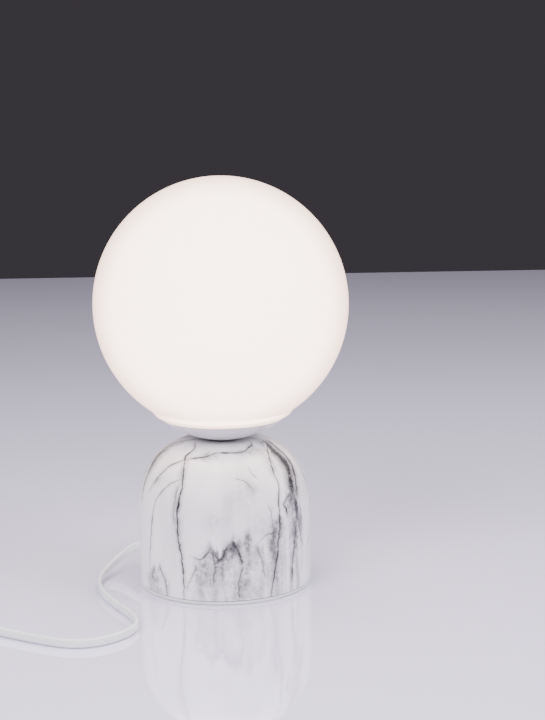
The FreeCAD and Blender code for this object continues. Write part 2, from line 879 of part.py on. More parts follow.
def coil_spot(quarters):
    # Reach, turn and height after a number of quarter turns from the left end, clockwise from above
    inward_end = quarter_turns_each_way
    climb_end = inward_end + 2
    inner = coil_radius - coil_pitch * inward_end / 4
    if quarters <= inward_end:
        reach = coil_radius - coil_pitch * quarters / 4
    elif quarters < climb_end:
        reach = inner
    else:
        reach = inner + coil_pitch * (quarters - climb_end) / 4
    share = min(max((quarters - inward_end) / 2, 0), 1)
    return reach, 180 - 90 * quarters, coil_low + (coil_high - coil_low) * share


def coil_point(quarters):
    reach, turn, height = coil_spot(quarters)
    return at(coil_left + coil_radius, coil_y, 0) + polar(reach, turn, height)


def coil_way(quarters):
    step = 0.02
    last = 2 * quarter_turns_each_way + 2
    if quarters in (0, last):
        return at(0, 1, 0)
    way = coil_point(quarters + step) - coil_point(quarters - step)
    return way.normalize()


def coil_wire():
    last = 2 * quarter_turns_each_way + 2
    start = coil_point(0)
    end = coil_point(last)
    straight = at(0, cord_height, 0)
    edges = [Part.LineSegment(start - straight, start).toShape()]
    for quarter in range(last):
        edges += biarc(coil_point(quarter), coil_way(quarter), coil_point(quarter + 1), coil_way(quarter + 1))
    edges.append(Part.LineSegment(end, end + straight).toShape())
    return Part.Wire(edges)


def spine_spots(wire):
    # Points up the middle of the cord's section, carried along the turns without twist
    spots = wire.discretize(Number=int(wire.Length / gap_spacing))
    rise = (cord_height - cord_thickness) / 2
    top = up
    spines = []
    for before, spot, after in zip(spots, spots[1:], spots[2:]):
        way = (after - before).normalize()
        top = (top - way * top.dot(way)).normalize()
        spines.append((spot, [spot + top * (rise * share) for share in (-1, -0.5, 0, 0.5, 1)]))
    return spines


def coil_gap(wire):
    # Least room between one turn and another
    spines = spine_spots(wire)
    skip = int(4 * cord_height / gap_spacing)
    least = cord_height
    for index, (spot, spine) in enumerate(spines):
        for other_spot, other in spines[index + skip:]:
            if (spot - other_spot).Length < 2 * cord_height:
                apart = min((first - second).Length for first in spine for second in other)
                least = min(least, apart - cord_thickness)
    return least


def cord_coil():
    wire = coil_wire()
    inner = coil_spot(quarter_turns_each_way)[0]
    print("coil least gap", round(coil_gap(wire), 2), "inner radius", round(inner, 1))
    start = coil_point(0) - at(0, cord_height, 0)
    return swept(wire, oval_wire(start, at(0, 1, 0)), oval_area(), "cord_coil")


def coil_tie():
    half = cord_thickness / 2 + tie_slack
    low = coil_low - cord_height / 2
    high = coil_high + cord_height / 2
    near, far, side = tie_inner_reach - half, tie_outer_reach + half, tie_width / 2
    inner = block(near, far, -side, side, low, high + tie_slack)
    outer = block(near - tie_thickness, far + tie_thickness, -side, side,
                  low - tie_thickness, high + tie_slack + tie_thickness)
    corners = [edge for edge in outer.Edges if abs(edge.tangentAt(0).y) > 0.99]
    band = outer.makeFillet(tie_corner, corners).cut(inner)
    band.translate(at(coil_left + coil_radius, coil_y, 0))
    return band


# Switch, in its own frame until it is set down
def set_down(shape, middle, turn):
    shape.rotate(origin, up, turn)
    shape.translate(at(middle[0], middle[1], 0))
    return shape


def on_switch(shape):
    return set_down(shape, switch_middle, switch_turn)


def upright_edges(shape):
    return [edge for edge in shape.Edges if abs(edge.tangentAt(edge.FirstParameter).z) > 0.99]


def edges_at(shape, height):
    level = []
    for edge in shape.Edges:
        if abs(edge.BoundBox.ZMin - height) < same_height and abs(edge.BoundBox.ZMax - height) < same_height:
            level.append(edge)
    return level


def switch_block(low, high, eased):
    half_length = switch_length / 2
    half_width = switch_width / 2
    body = block(-half_length, half_length, -half_width, half_width, low, high)
    body = body.makeFillet(switch_corner, upright_edges(body))
    return body.makeFillet(switch_edge, edges_at(body, eased))


def switch_pockets():
    pockets = []
    for side in (-1, 1):
        mouth = at(side * switch_length / 2, 0, pocket_height)
        pockets.append(oval_bar(mouth, mouth - at(side * pocket_depth, 0, 0), pocket_clearance))
    return pockets


def switch_room_block(low, high):
    return block(-switch_room[0] / 2, switch_room[0] / 2, -switch_room[1] / 2, switch_room[1] / 2, low, high)


def switch_lower():
    body = switch_block(0, switch_split, 0).cut(switch_room_block(switch_floor, switch_split))
    posts = [rod(switch_post_radius, at(x, y, 0), at(x, y, switch_split)) for x, y in switch_posts]
    holes = [placed(sunk_hole(switch_screw), at(x, y, 0), -up) for x, y in switch_posts]
    for x, y in contact_screw_spots():
        holes.append(rod(contact_screw[1], at(x, y, contact_hole_low), at(x, y, switch_floor)))
    return on_switch(body.fuse(posts).removeSplitter().cut(holes + switch_pockets()))


def switch_upper():
    roof = switch_height - switch_roof
    body = switch_block(switch_split, switch_height, switch_height).cut(switch_room_block(switch_split, roof))
    posts = [rod(switch_post_radius, at(x, y, switch_split), at(x, y, roof)) for x, y in switch_posts]
    ribs = [block(-rib_half_length, rib_half_length, rib_inner, rib_outer, rib_low, roof),
            block(-rib_half_length, rib_half_length, -rib_outer, -rib_inner, rib_low, roof)]
    half_length, half_width = switch_opening[0] / 2, switch_opening[1] / 2
    cuts = [block(-half_length, half_length, -half_width, half_width, rib_low, switch_height)]
    cuts += [rod(switch_screw[1], at(x, y, switch_split), at(x, y, switch_screw[2])) for x, y in switch_posts]
    pivot = rocker_pivot_height
    cuts.append(rod(pin_radius + pin_clearance, at(0, -rib_outer, pivot), at(0, rib_outer, pivot)))
    return on_switch(body.fuse(posts + ribs).removeSplitter().cut(cuts + switch_pockets()))


def switch_screws():
    screws = [placed(sunk_screw(switch_screw), at(x, y, 0), -up) for x, y in switch_posts]
    return on_switch(Part.makeCompound(screws))


def contact_screw_spots():
    middles = sorted({middle for low, high, middle in contact_strips})
    return [(side * contact_screw_reach, middle) for side in (-1, 1) for middle in middles]


def switch_contacts():
    strips = []
    low_height = switch_floor
    high_height = low_height + contact_thickness
    for low, high, middle in contact_strips:
        y_low, y_high = middle - contact_width / 2, middle + contact_width / 2
        base = block(low, high, y_low, y_high, low_height, high_height)
        if high - low < switch_length / 2:
            inner = min((low, high), key=abs)
            x_low, x_high = sorted((inner, inner + math.copysign(contact_thickness, inner)))
            base = base.fuse(block(x_low, x_high, y_low, y_high, low_height, high_height + contact_rise))
        strips.append(base.removeSplitter())
    spots = contact_screw_spots()
    holes = [rod(contact_screw[1], at(x, y, low_height), at(x, y, high_height)) for x, y in spots]
    return on_switch(Part.makeCompound([strip_shape.cut(holes) for strip_shape in strips]))


def switch_terminals():
    seat = switch_floor + contact_thickness
    screws = []
    for x, y in contact_screw_spots():
        head, shank, length, key = contact_screw
        screws.append(placed(pan_screw((head, shank, seat - contact_hole_low, key)), at(x, y, seat), up))
    return on_switch(Part.makeCompound(screws))


def switch_rocker():
    half = rocker_half_length
    toe = half - rocker_toe
    outline = [(-half, rocker_end_rise), (0, rocker_dip), (half, rocker_end_rise), (half, -rocker_end_drop),
               (toe, -rocker_skirt), (-toe, -rocker_skirt), (-half, -rocker_end_drop),
               (-half, rocker_end_rise)]
    spots = [at(x, -rocker_width / 2, z) for x, z in outline]
    body = Part.Face(Part.makePolygon(spots)).extrude(at(0, rocker_width, 0))
    pins = rod(pin_radius, at(0, -pin_reach, 0), at(0, pin_reach, 0))
    rocker = body.fuse(pins).removeSplitter()
    rocker.rotate(origin, at(0, 1, 0), rocker_tip)
    rocker.translate(at(0, 0, rocker_pivot_height))
    return on_switch(rocker)


# Plug, drawn along +X from its cord end
def on_plug(shape):
    return set_down(shape, plug_entry, plug_turn)


def plug_prong_lines():
    middle = plug_thickness / 2
    return [at(0, side * prong_spacing / 2, middle) for side in (-1, 1)]


def prong(foot):
    low = plug_length - prong_root
    sleeve_end = plug_length + sleeve_length
    tip = plug_length + prong_length
    step = low + prong_step
    shape = turned([
        (0, low), (prong_radius, low), (prong_radius, step), (prong_neck_radius, step),
        (prong_neck_radius, sleeve_end), (prong_radius, sleeve_end), (prong_radius, tip - prong_tip),
        (prong_radius - prong_tip, tip), (0, tip),
    ])
    return placed(shape, foot, at(1, 0, 0))


def plug_body():
    half = plug_width / 2
    tail = plug_tail_width / 2
    taper = plug_taper_length
    middle = plug_thickness / 2
    outline = [at(0, -tail, 0), at(taper, -half, 0), at(plug_length, -half, 0), at(plug_length, half, 0),
               at(taper, half, 0), at(0, tail, 0), at(0, -tail, 0)]
    body = Part.Face(Part.makePolygon(outline)).extrude(at(0, 0, plug_thickness))
    rise = plug_tail_height / 2
    side_view = [at(0, -half, middle - rise), at(taper, -half, 0), at(plug_length, -half, 0),
                 at(plug_length, -half, plug_thickness), at(taper, -half, plug_thickness),
                 at(0, -half, middle + rise),
                 at(0, -half, middle - rise)]
    body = body.common(Part.Face(Part.makePolygon(side_view)).extrude(at(0, plug_width, 0)))
    body = body.makeFillet(plug_edge, body.Edges)
    mouth = at(0, 0, plug_route[-1][2])
    cuts = [oval_bar(mouth, mouth + at(plug_pocket, 0, 0), pocket_clearance)]
    cuts += [prong(foot) for foot in plug_prong_lines()]
    return on_plug(body.cut(cuts))


def plug_pins():
    return on_plug(Part.makeCompound([prong(foot) for foot in plug_prong_lines()]))


def pin_sleeves():
    sleeves = []
    for foot in plug_prong_lines():
        start = foot + at(plug_length, 0, 0)
        end = start + at(sleeve_length, 0, 0)
        sleeves.append(rod(sleeve_radius, start, end).cut(rod(prong_neck_radius, start, end)))
    return on_plug(Part.makeCompound(sleeves))


save(foot_pad(), "foot_pad")
save(base_plate(), "base_plate")
save(screws_up(plate_screw, post_ring_radius), "plate_screws")
save(ballast_weight(), "ballast_weight")
save(screws_up(ballast_screw, ballast_screw_ring_radius), "ballast_screws")
save(marble_shell(), "marble_shell")
save(shell_posts(), "shell_posts")
save(cord_bushing(), "cord_bushing")
save(cord_clamp_base(), "cord_clamp_base")
save(cord_clamp_bar(), "cord_clamp_bar")
save(clamp_screws(), "clamp_screws")
save(inner_cord(), "inner_cord")
save(core(live_route, "live_wire"), "live_wire")
save(core(neutral_route, "neutral_wire"), "neutral_wire")
save(threaded_tube(), "threaded_tube")
save(tube_nut(crown_nut_low), "crown_nut")
save(ring(crown_washer_radius, tube_radius, crown_washer_low, crown_under), "crown_washer")
save(globe_cup(), "globe_cup")
save(clip_spider(), "clip_spider")
save(ring(cup_washer_radius, tube_radius, cup_floor, cup_washer_high), "cup_washer")
save(tube_nut(spring_high), "cup_nut")
save(glass_gasket(), "glass_gasket")
save(lampholder_cap(), "lampholder_cap")
save(lampholder_shell(), "lampholder_shell")
save(lampholder_insert(), "lampholder_insert")
save(screw_sleeve(), "screw_sleeve")
save(centre_contact(), "centre_contact")
save(terminal_screws(), "terminal_screws")
save(glass_globe(), "glass_globe")
save(bulb_contact(), "bulb_contact")
save(bulb_insulator(), "bulb_insulator")
save(bulb_cap(), "bulb_cap")
save(bulb_housing(), "bulb_housing")
save(bulb_led_board(), "bulb_led_board")
save(bulb_dome(), "bulb_dome")
save(cord_run(power_route, "power_cord"), "power_cord")
save(switch_lower(), "switch_lower")
save(switch_upper(), "switch_upper")
save(switch_screws(), "switch_screws")
save(switch_contacts(), "switch_contacts")
save(switch_terminals(), "switch_terminals")
save(switch_rocker(), "switch_rocker")
save(cord_run(far_route, "far_cord"), "far_cord")
save(cord_coil(), "cord_coil")
save(coil_tie(), "coil_tie")
save(cord_run(plug_route, "plug_cord"), "plug_cord")
save(plug_body(), "plug_body")
save(plug_pins(), "plug_pins")
save(pin_sleeves(), "pin_sleeves")
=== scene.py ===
import bpy
import bmesh
import math
import random
import numpy as np
from mathutils import Matrix, Vector, noise
from mathutils.kdtree import KDTree


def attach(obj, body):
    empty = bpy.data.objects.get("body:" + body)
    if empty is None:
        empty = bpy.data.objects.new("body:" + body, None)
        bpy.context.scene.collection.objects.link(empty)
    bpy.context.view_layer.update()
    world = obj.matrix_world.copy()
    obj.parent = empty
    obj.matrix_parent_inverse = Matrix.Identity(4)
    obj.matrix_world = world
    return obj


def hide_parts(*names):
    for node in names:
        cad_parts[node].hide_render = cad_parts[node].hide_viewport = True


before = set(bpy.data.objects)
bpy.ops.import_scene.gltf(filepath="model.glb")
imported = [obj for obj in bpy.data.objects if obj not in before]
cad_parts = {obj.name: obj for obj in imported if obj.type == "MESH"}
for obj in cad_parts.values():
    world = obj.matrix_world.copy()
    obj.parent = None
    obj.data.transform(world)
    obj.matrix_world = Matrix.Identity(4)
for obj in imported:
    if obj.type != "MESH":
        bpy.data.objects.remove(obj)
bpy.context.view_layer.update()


# camera, worked out from the lamp's outline in the photo
view = {"spot": (0.0, -1.25, 0.38586), "turn": 1.827, "dip": 9.43, "roll": -0.75, "lens": 80.37}


def makeCamera():
    turn, dip, roll = (math.radians(view[k]) for k in ("turn", "dip", "roll"))
    ahead = Vector((math.sin(turn) * math.cos(dip), math.cos(turn) * math.cos(dip), -math.sin(dip)))
    side = Vector((math.cos(turn), -math.sin(turn), 0))
    top = side.cross(ahead)
    right = side * math.cos(roll) + top * math.sin(roll)
    above = top * math.cos(roll) - side * math.sin(roll)
    data = bpy.data.cameras.new("lampCamera")
    data.sensor_width = 36
    data.lens = view["lens"]
    camera = bpy.data.objects.new("lampCamera", data)
    bpy.context.collection.objects.link(camera)
    axes = Matrix((right, above, -ahead)).transposed()
    camera.matrix_world = Matrix.Translation(view["spot"]) @ axes.to_4x4()
    bpy.context.scene.camera = camera


makeCamera()
print("camera ready")


def newMaterial(name):
    mat = bpy.data.materials.new(name)
    mat.use_nodes = True
    tree = mat.node_tree
    return mat, tree, tree.nodes["Principled BSDF"]


def addNode(tree, kind, **values):
    item = tree.nodes.new(kind)
    for key, value in values.items():
        if key in item.inputs:
            item.inputs[key].default_value = value
        else:
            setattr(item, key, value)
    return item


def colourRamp(tree, source, stops):
    ramp = tree.nodes.new("ShaderNodeValToRGB")
    marks = ramp.color_ramp.elements
    while len(marks) < len(stops):
        marks.new(0.5)
    for mark, (place, colour) in zip(marks, stops):
        mark.position = place
        mark.color = (*colour, 1)
    tree.links.new(source, ramp.inputs["Fac"])
    return ramp.outputs["Color"]


def objectPoint(tree, scale=(1, 1, 1)):
    place = tree.nodes.new("ShaderNodeTexCoord")
    move = tree.nodes.new("ShaderNodeMapping")
    move.inputs["Scale"].default_value = scale
    tree.links.new(place.outputs["Object"], move.inputs["Vector"])
    return move.outputs["Vector"]


def addBump(tree, shader, height, strength):
    bump = addNode(tree, "ShaderNodeBump", Strength=strength, Distance=skin["bumpReach"])
    tree.links.new(height, bump.inputs["Height"])
    tree.links.new(bump.outputs["Normal"], shader.inputs["Normal"])


skin = {"bumpReach": 0.0002, "glossSpread": 0.06, "coatRoughness": 0.08}


def finish(name, tone, shade, grain, roughness, metallic=0.0, bump=0.15, coat=0.0, stretch=(1, 1, 1)):
    # two close tones broken up by noise, with a matching unevenness in the gloss and a fine bump
    mat, tree, shader = newMaterial(name)
    point = objectPoint(tree, stretch)
    cloud = addNode(tree, "ShaderNodeTexNoise", Scale=grain, Detail=5.0, Roughness=0.6)
    fine = addNode(tree, "ShaderNodeTexNoise", Scale=grain * 9, Detail=3.0)
    tree.links.new(point, cloud.inputs["Vector"])
    tree.links.new(point, fine.inputs["Vector"])
    colour = colourRamp(tree, cloud.outputs["Fac"], [(0.32, shade), (0.68, tone)])
    tree.links.new(colour, shader.inputs["Base Color"])
    low, high = max(0.02, roughness - skin["glossSpread"]), roughness + skin["glossSpread"]
    gloss = colourRamp(tree, cloud.outputs["Fac"], [(0.3, (high,) * 3), (0.7, (low,) * 3)])
    tree.links.new(gloss, shader.inputs["Roughness"])
    shader.inputs["Metallic"].default_value = metallic
    shader.inputs["Coat Weight"].default_value = coat
    shader.inputs["Coat Roughness"].default_value = skin["coatRoughness"]
    addBump(tree, shader, fine.outputs["Fac"], bump)
    return mat


def addPiece(name, mesh, body, mat, replaced):
    piece = bpy.data.objects.new(name, mesh)
    bpy.context.collection.objects.link(piece)
    mesh.materials.clear()
    mesh.materials.append(mat)
    mesh.polygons.foreach_set("use_smooth", [True] * len(mesh.polygons))
    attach(piece, body)
    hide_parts(*replaced)
    return piece


def closeUp(mesh):
    # one closed skin with its faces turned outwards
    bm = bmesh.new()
    bm.from_mesh(mesh)
    bmesh.ops.remove_doubles(bm, verts=bm.verts, dist=1e-7)
    bmesh.ops.recalc_face_normals(bm, faces=bm.faces)
    bm.to_mesh(mesh)
    bm.free()
    return mesh


def revolve(name, outline, steps):
    # closed outline of (reach, height) in metres turned about Z; a point on the axis becomes one vertex
    verts, rings = [], []
    for reach, height in outline:
        if reach < 1e-7:
            rings.append([len(verts)])
            verts.append((0, 0, height))
            continue
        first = len(verts)
        rings.append(list(range(first, first + steps)))
        for step in range(steps):
            angle = 2 * math.pi * step / steps
            verts.append((reach * math.cos(angle), reach * math.sin(angle), height))
    faces = []
    for here, after in zip(rings, rings[1:] + rings[:1]):
        if len(here) == 1 and len(after) == 1:
            continue
        for step in range(steps):
            nextStep = (step + 1) % steps
            if len(here) == 1:
                faces.append((here[0], after[nextStep], after[step]))
            elif len(after) == 1:
                faces.append((here[step], here[nextStep], after[0]))
            else:
                faces.append((here[step], here[nextStep], after[nextStep], after[step]))
    mesh = bpy.data.meshes.new(name)
    mesh.from_pydata(verts, [], faces)
    return closeUp(mesh)


def arcPoints(centre, radius, start, end, count):
    # points on an arc of the outline, both angles in degrees from the reach axis
    points = []
    for step in range(count + 1):
        angle = math.radians(start + (end - start) * step / count)
        points.append((centre[0] + radius * math.cos(angle), centre[1] + radius * math.sin(angle)))
    return points


# the white flat twin cord, in metres
flatCord = {"thick": 0.0035, "wide": 0.0066, "waist": 0.00014, "waistTall": 0.0008, "around": 28,
            "step": 0.0004}

cordToSwitch = (
    (-0.06803, 0.02476, 0.022), (-0.07198, 0.0262, 0.022), (-0.077, 0.0279, 0.0192),
    (-0.0846, 0.0275, 0.0136), (-0.0942, 0.0178, 0.0075), (-0.1015, -0.0049, 0.004),
    (-0.0986, -0.0347, 0.0034), (-0.0859, -0.0663, 0.0034), (-0.0706, -0.0953, 0.0034),
    (-0.0647, -0.1185, 0.0034), (-0.0714, -0.1375, 0.0034), (-0.0896, -0.1548, 0.0034),
    (-0.1106, -0.158, 0.0034), (-0.1325, -0.1469, 0.0034), (-0.1567, -0.1318, 0.0034),
    (-0.1702, -0.1224, 0.0039), (-0.18168, -0.11439, 0.007), (-0.19317, -0.10639, 0.007),
)
cordToCoil = (
    (-0.23093, -0.08011, 0.007), (-0.24242, -0.07212, 0.007), (-0.256, -0.0622, 0.0042),
    (-0.2695, -0.047, 0.004), (-0.2774, -0.027, 0.004), (-0.2795, -0.0135, 0.004),
    (-0.2795, -0.0016, 0.004),
)
cordToPlug = (
    (-0.2795, 0.0116, 0.0115), (-0.2795, 0.0206, 0.0115), (-0.2792, 0.033, 0.0086),
    (-0.276, 0.04651, 0.0069), (-0.27181, 0.05987, 0.0069),
)
# the put-away coil winds in, climbs over itself and winds out; widen makes up for the curve's cut corners
coil = {"middle": (-0.2381, 0.005), "reach": 0.0414, "pitch": 0.0056, "low": 0.004, "high": 0.0115,
        "quarters": 11, "perTurn": 16, "widen": 1.0145}


def coilPoints():
    points = []
    inEnd = coil["quarters"]
    last = 2 * inEnd + 2
    steps = last * coil["perTurn"] // 4
    inner = coil["reach"] - coil["pitch"] * inEnd / 4
    for step in range(1, steps):
        quarters = step * 4 / coil["perTurn"]
        if quarters <= inEnd:
            reach = coil["reach"] - coil["pitch"] * quarters / 4
        elif quarters < inEnd + 2:
            reach = inner
        else:
            reach = inner + coil["pitch"] * (quarters - inEnd - 2) / 4
        share = min(max((quarters - inEnd) / 2, 0), 1)
        angle = math.radians(180 - 90 * quarters)
        reach *= coil["widen"]
        points.append((coil["middle"][0] + reach * math.cos(angle),
                       coil["middle"][1] + reach * math.sin(angle),
                       coil["low"] + (coil["high"] - coil["low"]) * share))
    return points


def cordCurve(name, points):
    data = bpy.data.curves.new(name, "CURVE")
    data.dimensions = "3D"
    data.resolution_u = 10
    line = data.splines.new("NURBS")
    line.points.add(len(points) - 1)
    for item, spot in zip(line.points, points):
        item.co = (*spot, 1)
    line.order_u = 3
    line.use_endpoint_u = True
    curve = bpy.data.objects.new(name, data)
    bpy.context.collection.objects.link(curve)
    return curve


def pathOf(curve):
    bpy.context.view_layer.update()
    mesh = bpy.data.meshes.new_from_object(curve)
    spots = [v.co.copy() for v in mesh.vertices]
    bpy.data.meshes.remove(mesh)
    bpy.data.objects.remove(curve)
    kept = [spots[0]]
    for spot in spots[1:]:
        if (spot - kept[-1]).length > flatCord["step"]:
            kept.append(spot)
    return kept


def cordSection():
    # two cores side by side in one sheath: an oval that stands on its narrow side, with a shallow waist
    half, rise = flatCord["thick"] / 2, (flatCord["wide"] - flatCord["thick"]) / 2
    points = []
    for step in range(flatCord["around"]):
        angle = 2 * math.pi * step / flatCord["around"]
        side, top = math.cos(angle), math.sin(angle)
        height = top * half + (rise if top >= 0 else -rise)
        if abs(side) > 0.999:
            height = 0
        dent = flatCord["waist"] * math.exp(-(height / flatCord["waistTall"]) ** 2)
        points.append((side * half - math.copysign(dent, side), height))
    return points


def cordTube(name, path, mat, replaced):
    section = cordSection()
    around = len(section)
    verts, faces = [], []
    for index, spot in enumerate(path):
        way = (path[min(index + 1, len(path) - 1)] - path[max(index - 1, 0)]).normalized()
        side = Vector((0, 0, 1)).cross(way).normalized()
        top = way.cross(side).normalized()
        verts += [spot + side * x + top * z for x, z in section]
    for ring in range(len(path) - 1):
        for step in range(around):
            a, b = ring * around + step, ring * around + (step + 1) % around
            faces.append((a, b, b + around, a + around))
    faces.append(tuple(range(around))[::-1])
    faces.append(tuple(range((len(path) - 1) * around, len(path) * around)))
    mesh = bpy.data.meshes.new(name)
    mesh.from_pydata(verts, [], faces)
    return addPiece(name, closeUp(mesh), "base", mat, replaced)


cordSheath = finish("cordSheath", (0.86, 0.86, 0.87), (0.80, 0.80, 0.82), 60, 0.26, bump=0.12, coat=0.35)

nearPath = pathOf(cordCurve("nearRoute", cordToSwitch))
farPath = pathOf(cordCurve("farRoute", cordToCoil + tuple(coilPoints()) + cordToPlug))
nearCord = cordTube("cord_to_switch", nearPath, cordSheath, ("power_cord",))
farCord = cordTube("cord_to_plug", farPath, cordSheath, ("far_cord", "cord_coil", "plug_cord"))
print("cords", round(sum((b - a).length for a, b in zip(nearPath, nearPath[1:])), 4),
      round(sum((b - a).length for a, b in zip(farPath, farPath[1:])), 4))


# opal glass globe with a band over its seam and a collar that stands in the cup
globe = {"reach": 0.1, "wall": 0.0028, "bandReach": 0.1017, "middle": 0.22331, "stepOut": 0.0562,
         "stepIn": 0.0534, "seamOut": 0.0488, "seam": 0.13409, "collarOut": 0.0400, "collarLow": 0.1275,
         "collarIn": 0.032, "glow": 6.6, "roughness": 0.42}


def opalGlass():
    # lit from within: a near-white glow, a little warmer and darker where the glass turns away
    mat, tree, shader = newMaterial("opalGlass")
    edge = addNode(tree, "ShaderNodeLayerWeight", Blend=0.5)
    point = objectPoint(tree)
    cloud = addNode(tree, "ShaderNodeTexNoise", Scale=5.0, Detail=2.0)
    tree.links.new(point, cloud.inputs["Vector"])
    glow = colourRamp(tree, edge.outputs["Facing"], [(0.0, (1.0, 0.79, 0.67)), (0.45, (0.95, 0.73, 0.60)),
                                                     (0.70, (0.62, 0.44, 0.345)), (1.0, (0.30, 0.20, 0.155))])
    patchy = colourRamp(tree, cloud.outputs["Fac"], [(0.3, (0.975, 0.97, 0.975)), (0.7, (1.0, 1.0, 1.0))])
    both = addNode(tree, "ShaderNodeMix", data_type="RGBA", blend_type="MULTIPLY")
    both.inputs[0].default_value = 1.0
    tree.links.new(glow, both.inputs[6])
    tree.links.new(patchy, both.inputs[7])
    tree.links.new(both.outputs[2], shader.inputs["Emission Color"])
    shader.inputs["Emission Strength"].default_value = globe["glow"]
    base = colourRamp(tree, cloud.outputs["Fac"], [(0.3, (0.30, 0.29, 0.285)), (0.7, (0.33, 0.32, 0.315))])
    tree.links.new(base, shader.inputs["Base Color"])
    shader.inputs["Roughness"].default_value = globe["roughness"]
    fine = addNode(tree, "ShaderNodeTexNoise", Scale=160.0, Detail=2.0)
    tree.links.new(point, fine.inputs["Vector"])
    addBump(tree, shader, fine.outputs["Fac"], 0.04)
    return mat


def globeOutline():
    g = globe
    middle = (0.0, g["middle"])
    stepAngle = -math.degrees(math.acos(g["stepOut"] / g["reach"]))
    bandStart = -math.degrees(math.acos(g["stepIn"] / g["bandReach"]))
    bandEnd = -math.degrees(math.acos(g["seamOut"] / g["bandReach"]))
    outer = arcPoints(middle, g["reach"], 90, stepAngle, 120)
    outer[0] = (0.0, g["middle"] + g["reach"])
    band = arcPoints(middle, g["bandReach"], bandStart, bandEnd, 8)
    # a soft rolled step between the ball and the band
    ballEnd, bandTop = Vector(outer[-1]), Vector(band[0])
    roll = [tuple(ballEnd.lerp(bandTop, share) + Vector((0.00025, -0.0001)) * math.sin(math.pi * share))
            for share in (0.25, 0.5, 0.75)]
    seam = Vector(band[-1])
    lip = [tuple(seam + Vector((-0.0006, 0.0)))]
    # from the seam down over the shelf to the collar, with its lower edge eased
    collar = [(0.0470, g["seam"] + 0.0001), (0.0443, g["seam"] - 0.0014),
              (g["collarOut"], g["collarLow"] + 0.0002), (g["collarOut"] - 0.0006, g["collarLow"]),
              (g["collarIn"] + 0.0008, g["collarLow"]), (g["collarIn"], g["collarLow"] + 0.0008)]
    innerReach = g["reach"] - g["wall"]
    innerStart = -math.degrees(math.acos(g["collarIn"] / innerReach))
    inner = arcPoints(middle, innerReach, innerStart, 90, 80)
    inner[-1] = (0.0, g["middle"] + innerReach)
    return outer + roll + band + lip + collar + inner


addPiece("opal_globe", revolve("opal_globe", globeOutline(), 256), "globe", opalGlass(),
         ("glass_globe",))
print("globe ready")


# white metal cup under the glass
cup = {"ball": 0.0761, "wall": 0.0012, "middle": 0.19218, "seat": 0.008, "rim": 0.0488, "low": 0.1165,
       "hole": 0.0052}


def cupOutline():
    middle = (0.0, cup["middle"])
    seatAngle = -math.degrees(math.acos(cup["seat"] / cup["ball"]))
    rimAngle = -math.degrees(math.acos(cup["rim"] / cup["ball"]))
    outside = arcPoints(middle, cup["ball"], seatAngle, rimAngle - 0.5, 60)
    bore = cup["ball"] - cup["wall"]
    rimHeight = cup["middle"] + cup["ball"] * math.sin(math.radians(rimAngle))
    inRim = math.sqrt(bore ** 2 - (cup["middle"] - rimHeight) ** 2)
    floorHeight = cup["low"] + cup["wall"]
    seatIn = math.sqrt(bore ** 2 - (cup["middle"] - floorHeight) ** 2)
    inside = arcPoints(middle, bore, -math.degrees(math.acos(inRim / bore)) - 0.4,
                       -math.degrees(math.acos(seatIn / bore)), 50)
    rolled = [(cup["rim"] - 0.0001, rimHeight - 0.0002), ((cup["rim"] + inRim) / 2, rimHeight),
              (inRim + 0.0001, rimHeight - 0.0002)]
    return [(cup["hole"], cup["low"]), *outside, *rolled, *inside, (cup["hole"], floorHeight)]


cupPaint = finish("cupPaint", (0.66, 0.65, 0.68), (0.63, 0.62, 0.655), 22, 0.34, bump=0.08, coat=0.2)
addPiece("white_cup", revolve("white_cup", cupOutline(), 192), "base", cupPaint, ("globe_cup",))
print("cup ready")


# drum-shaped base shell with a printed marble look
shell = {"reach": 0.0684, "top": 0.1165, "shoulder": 0.0448, "drop": 0.0525, "wall": 0.0015, "low": 0.0027,
         "hole": 0.0052, "row": 0.0008, "around": 560, "domeSteps": 84, "inSteps": 24, "crownRow": 0.001,
         "veinTop": 0.1164}

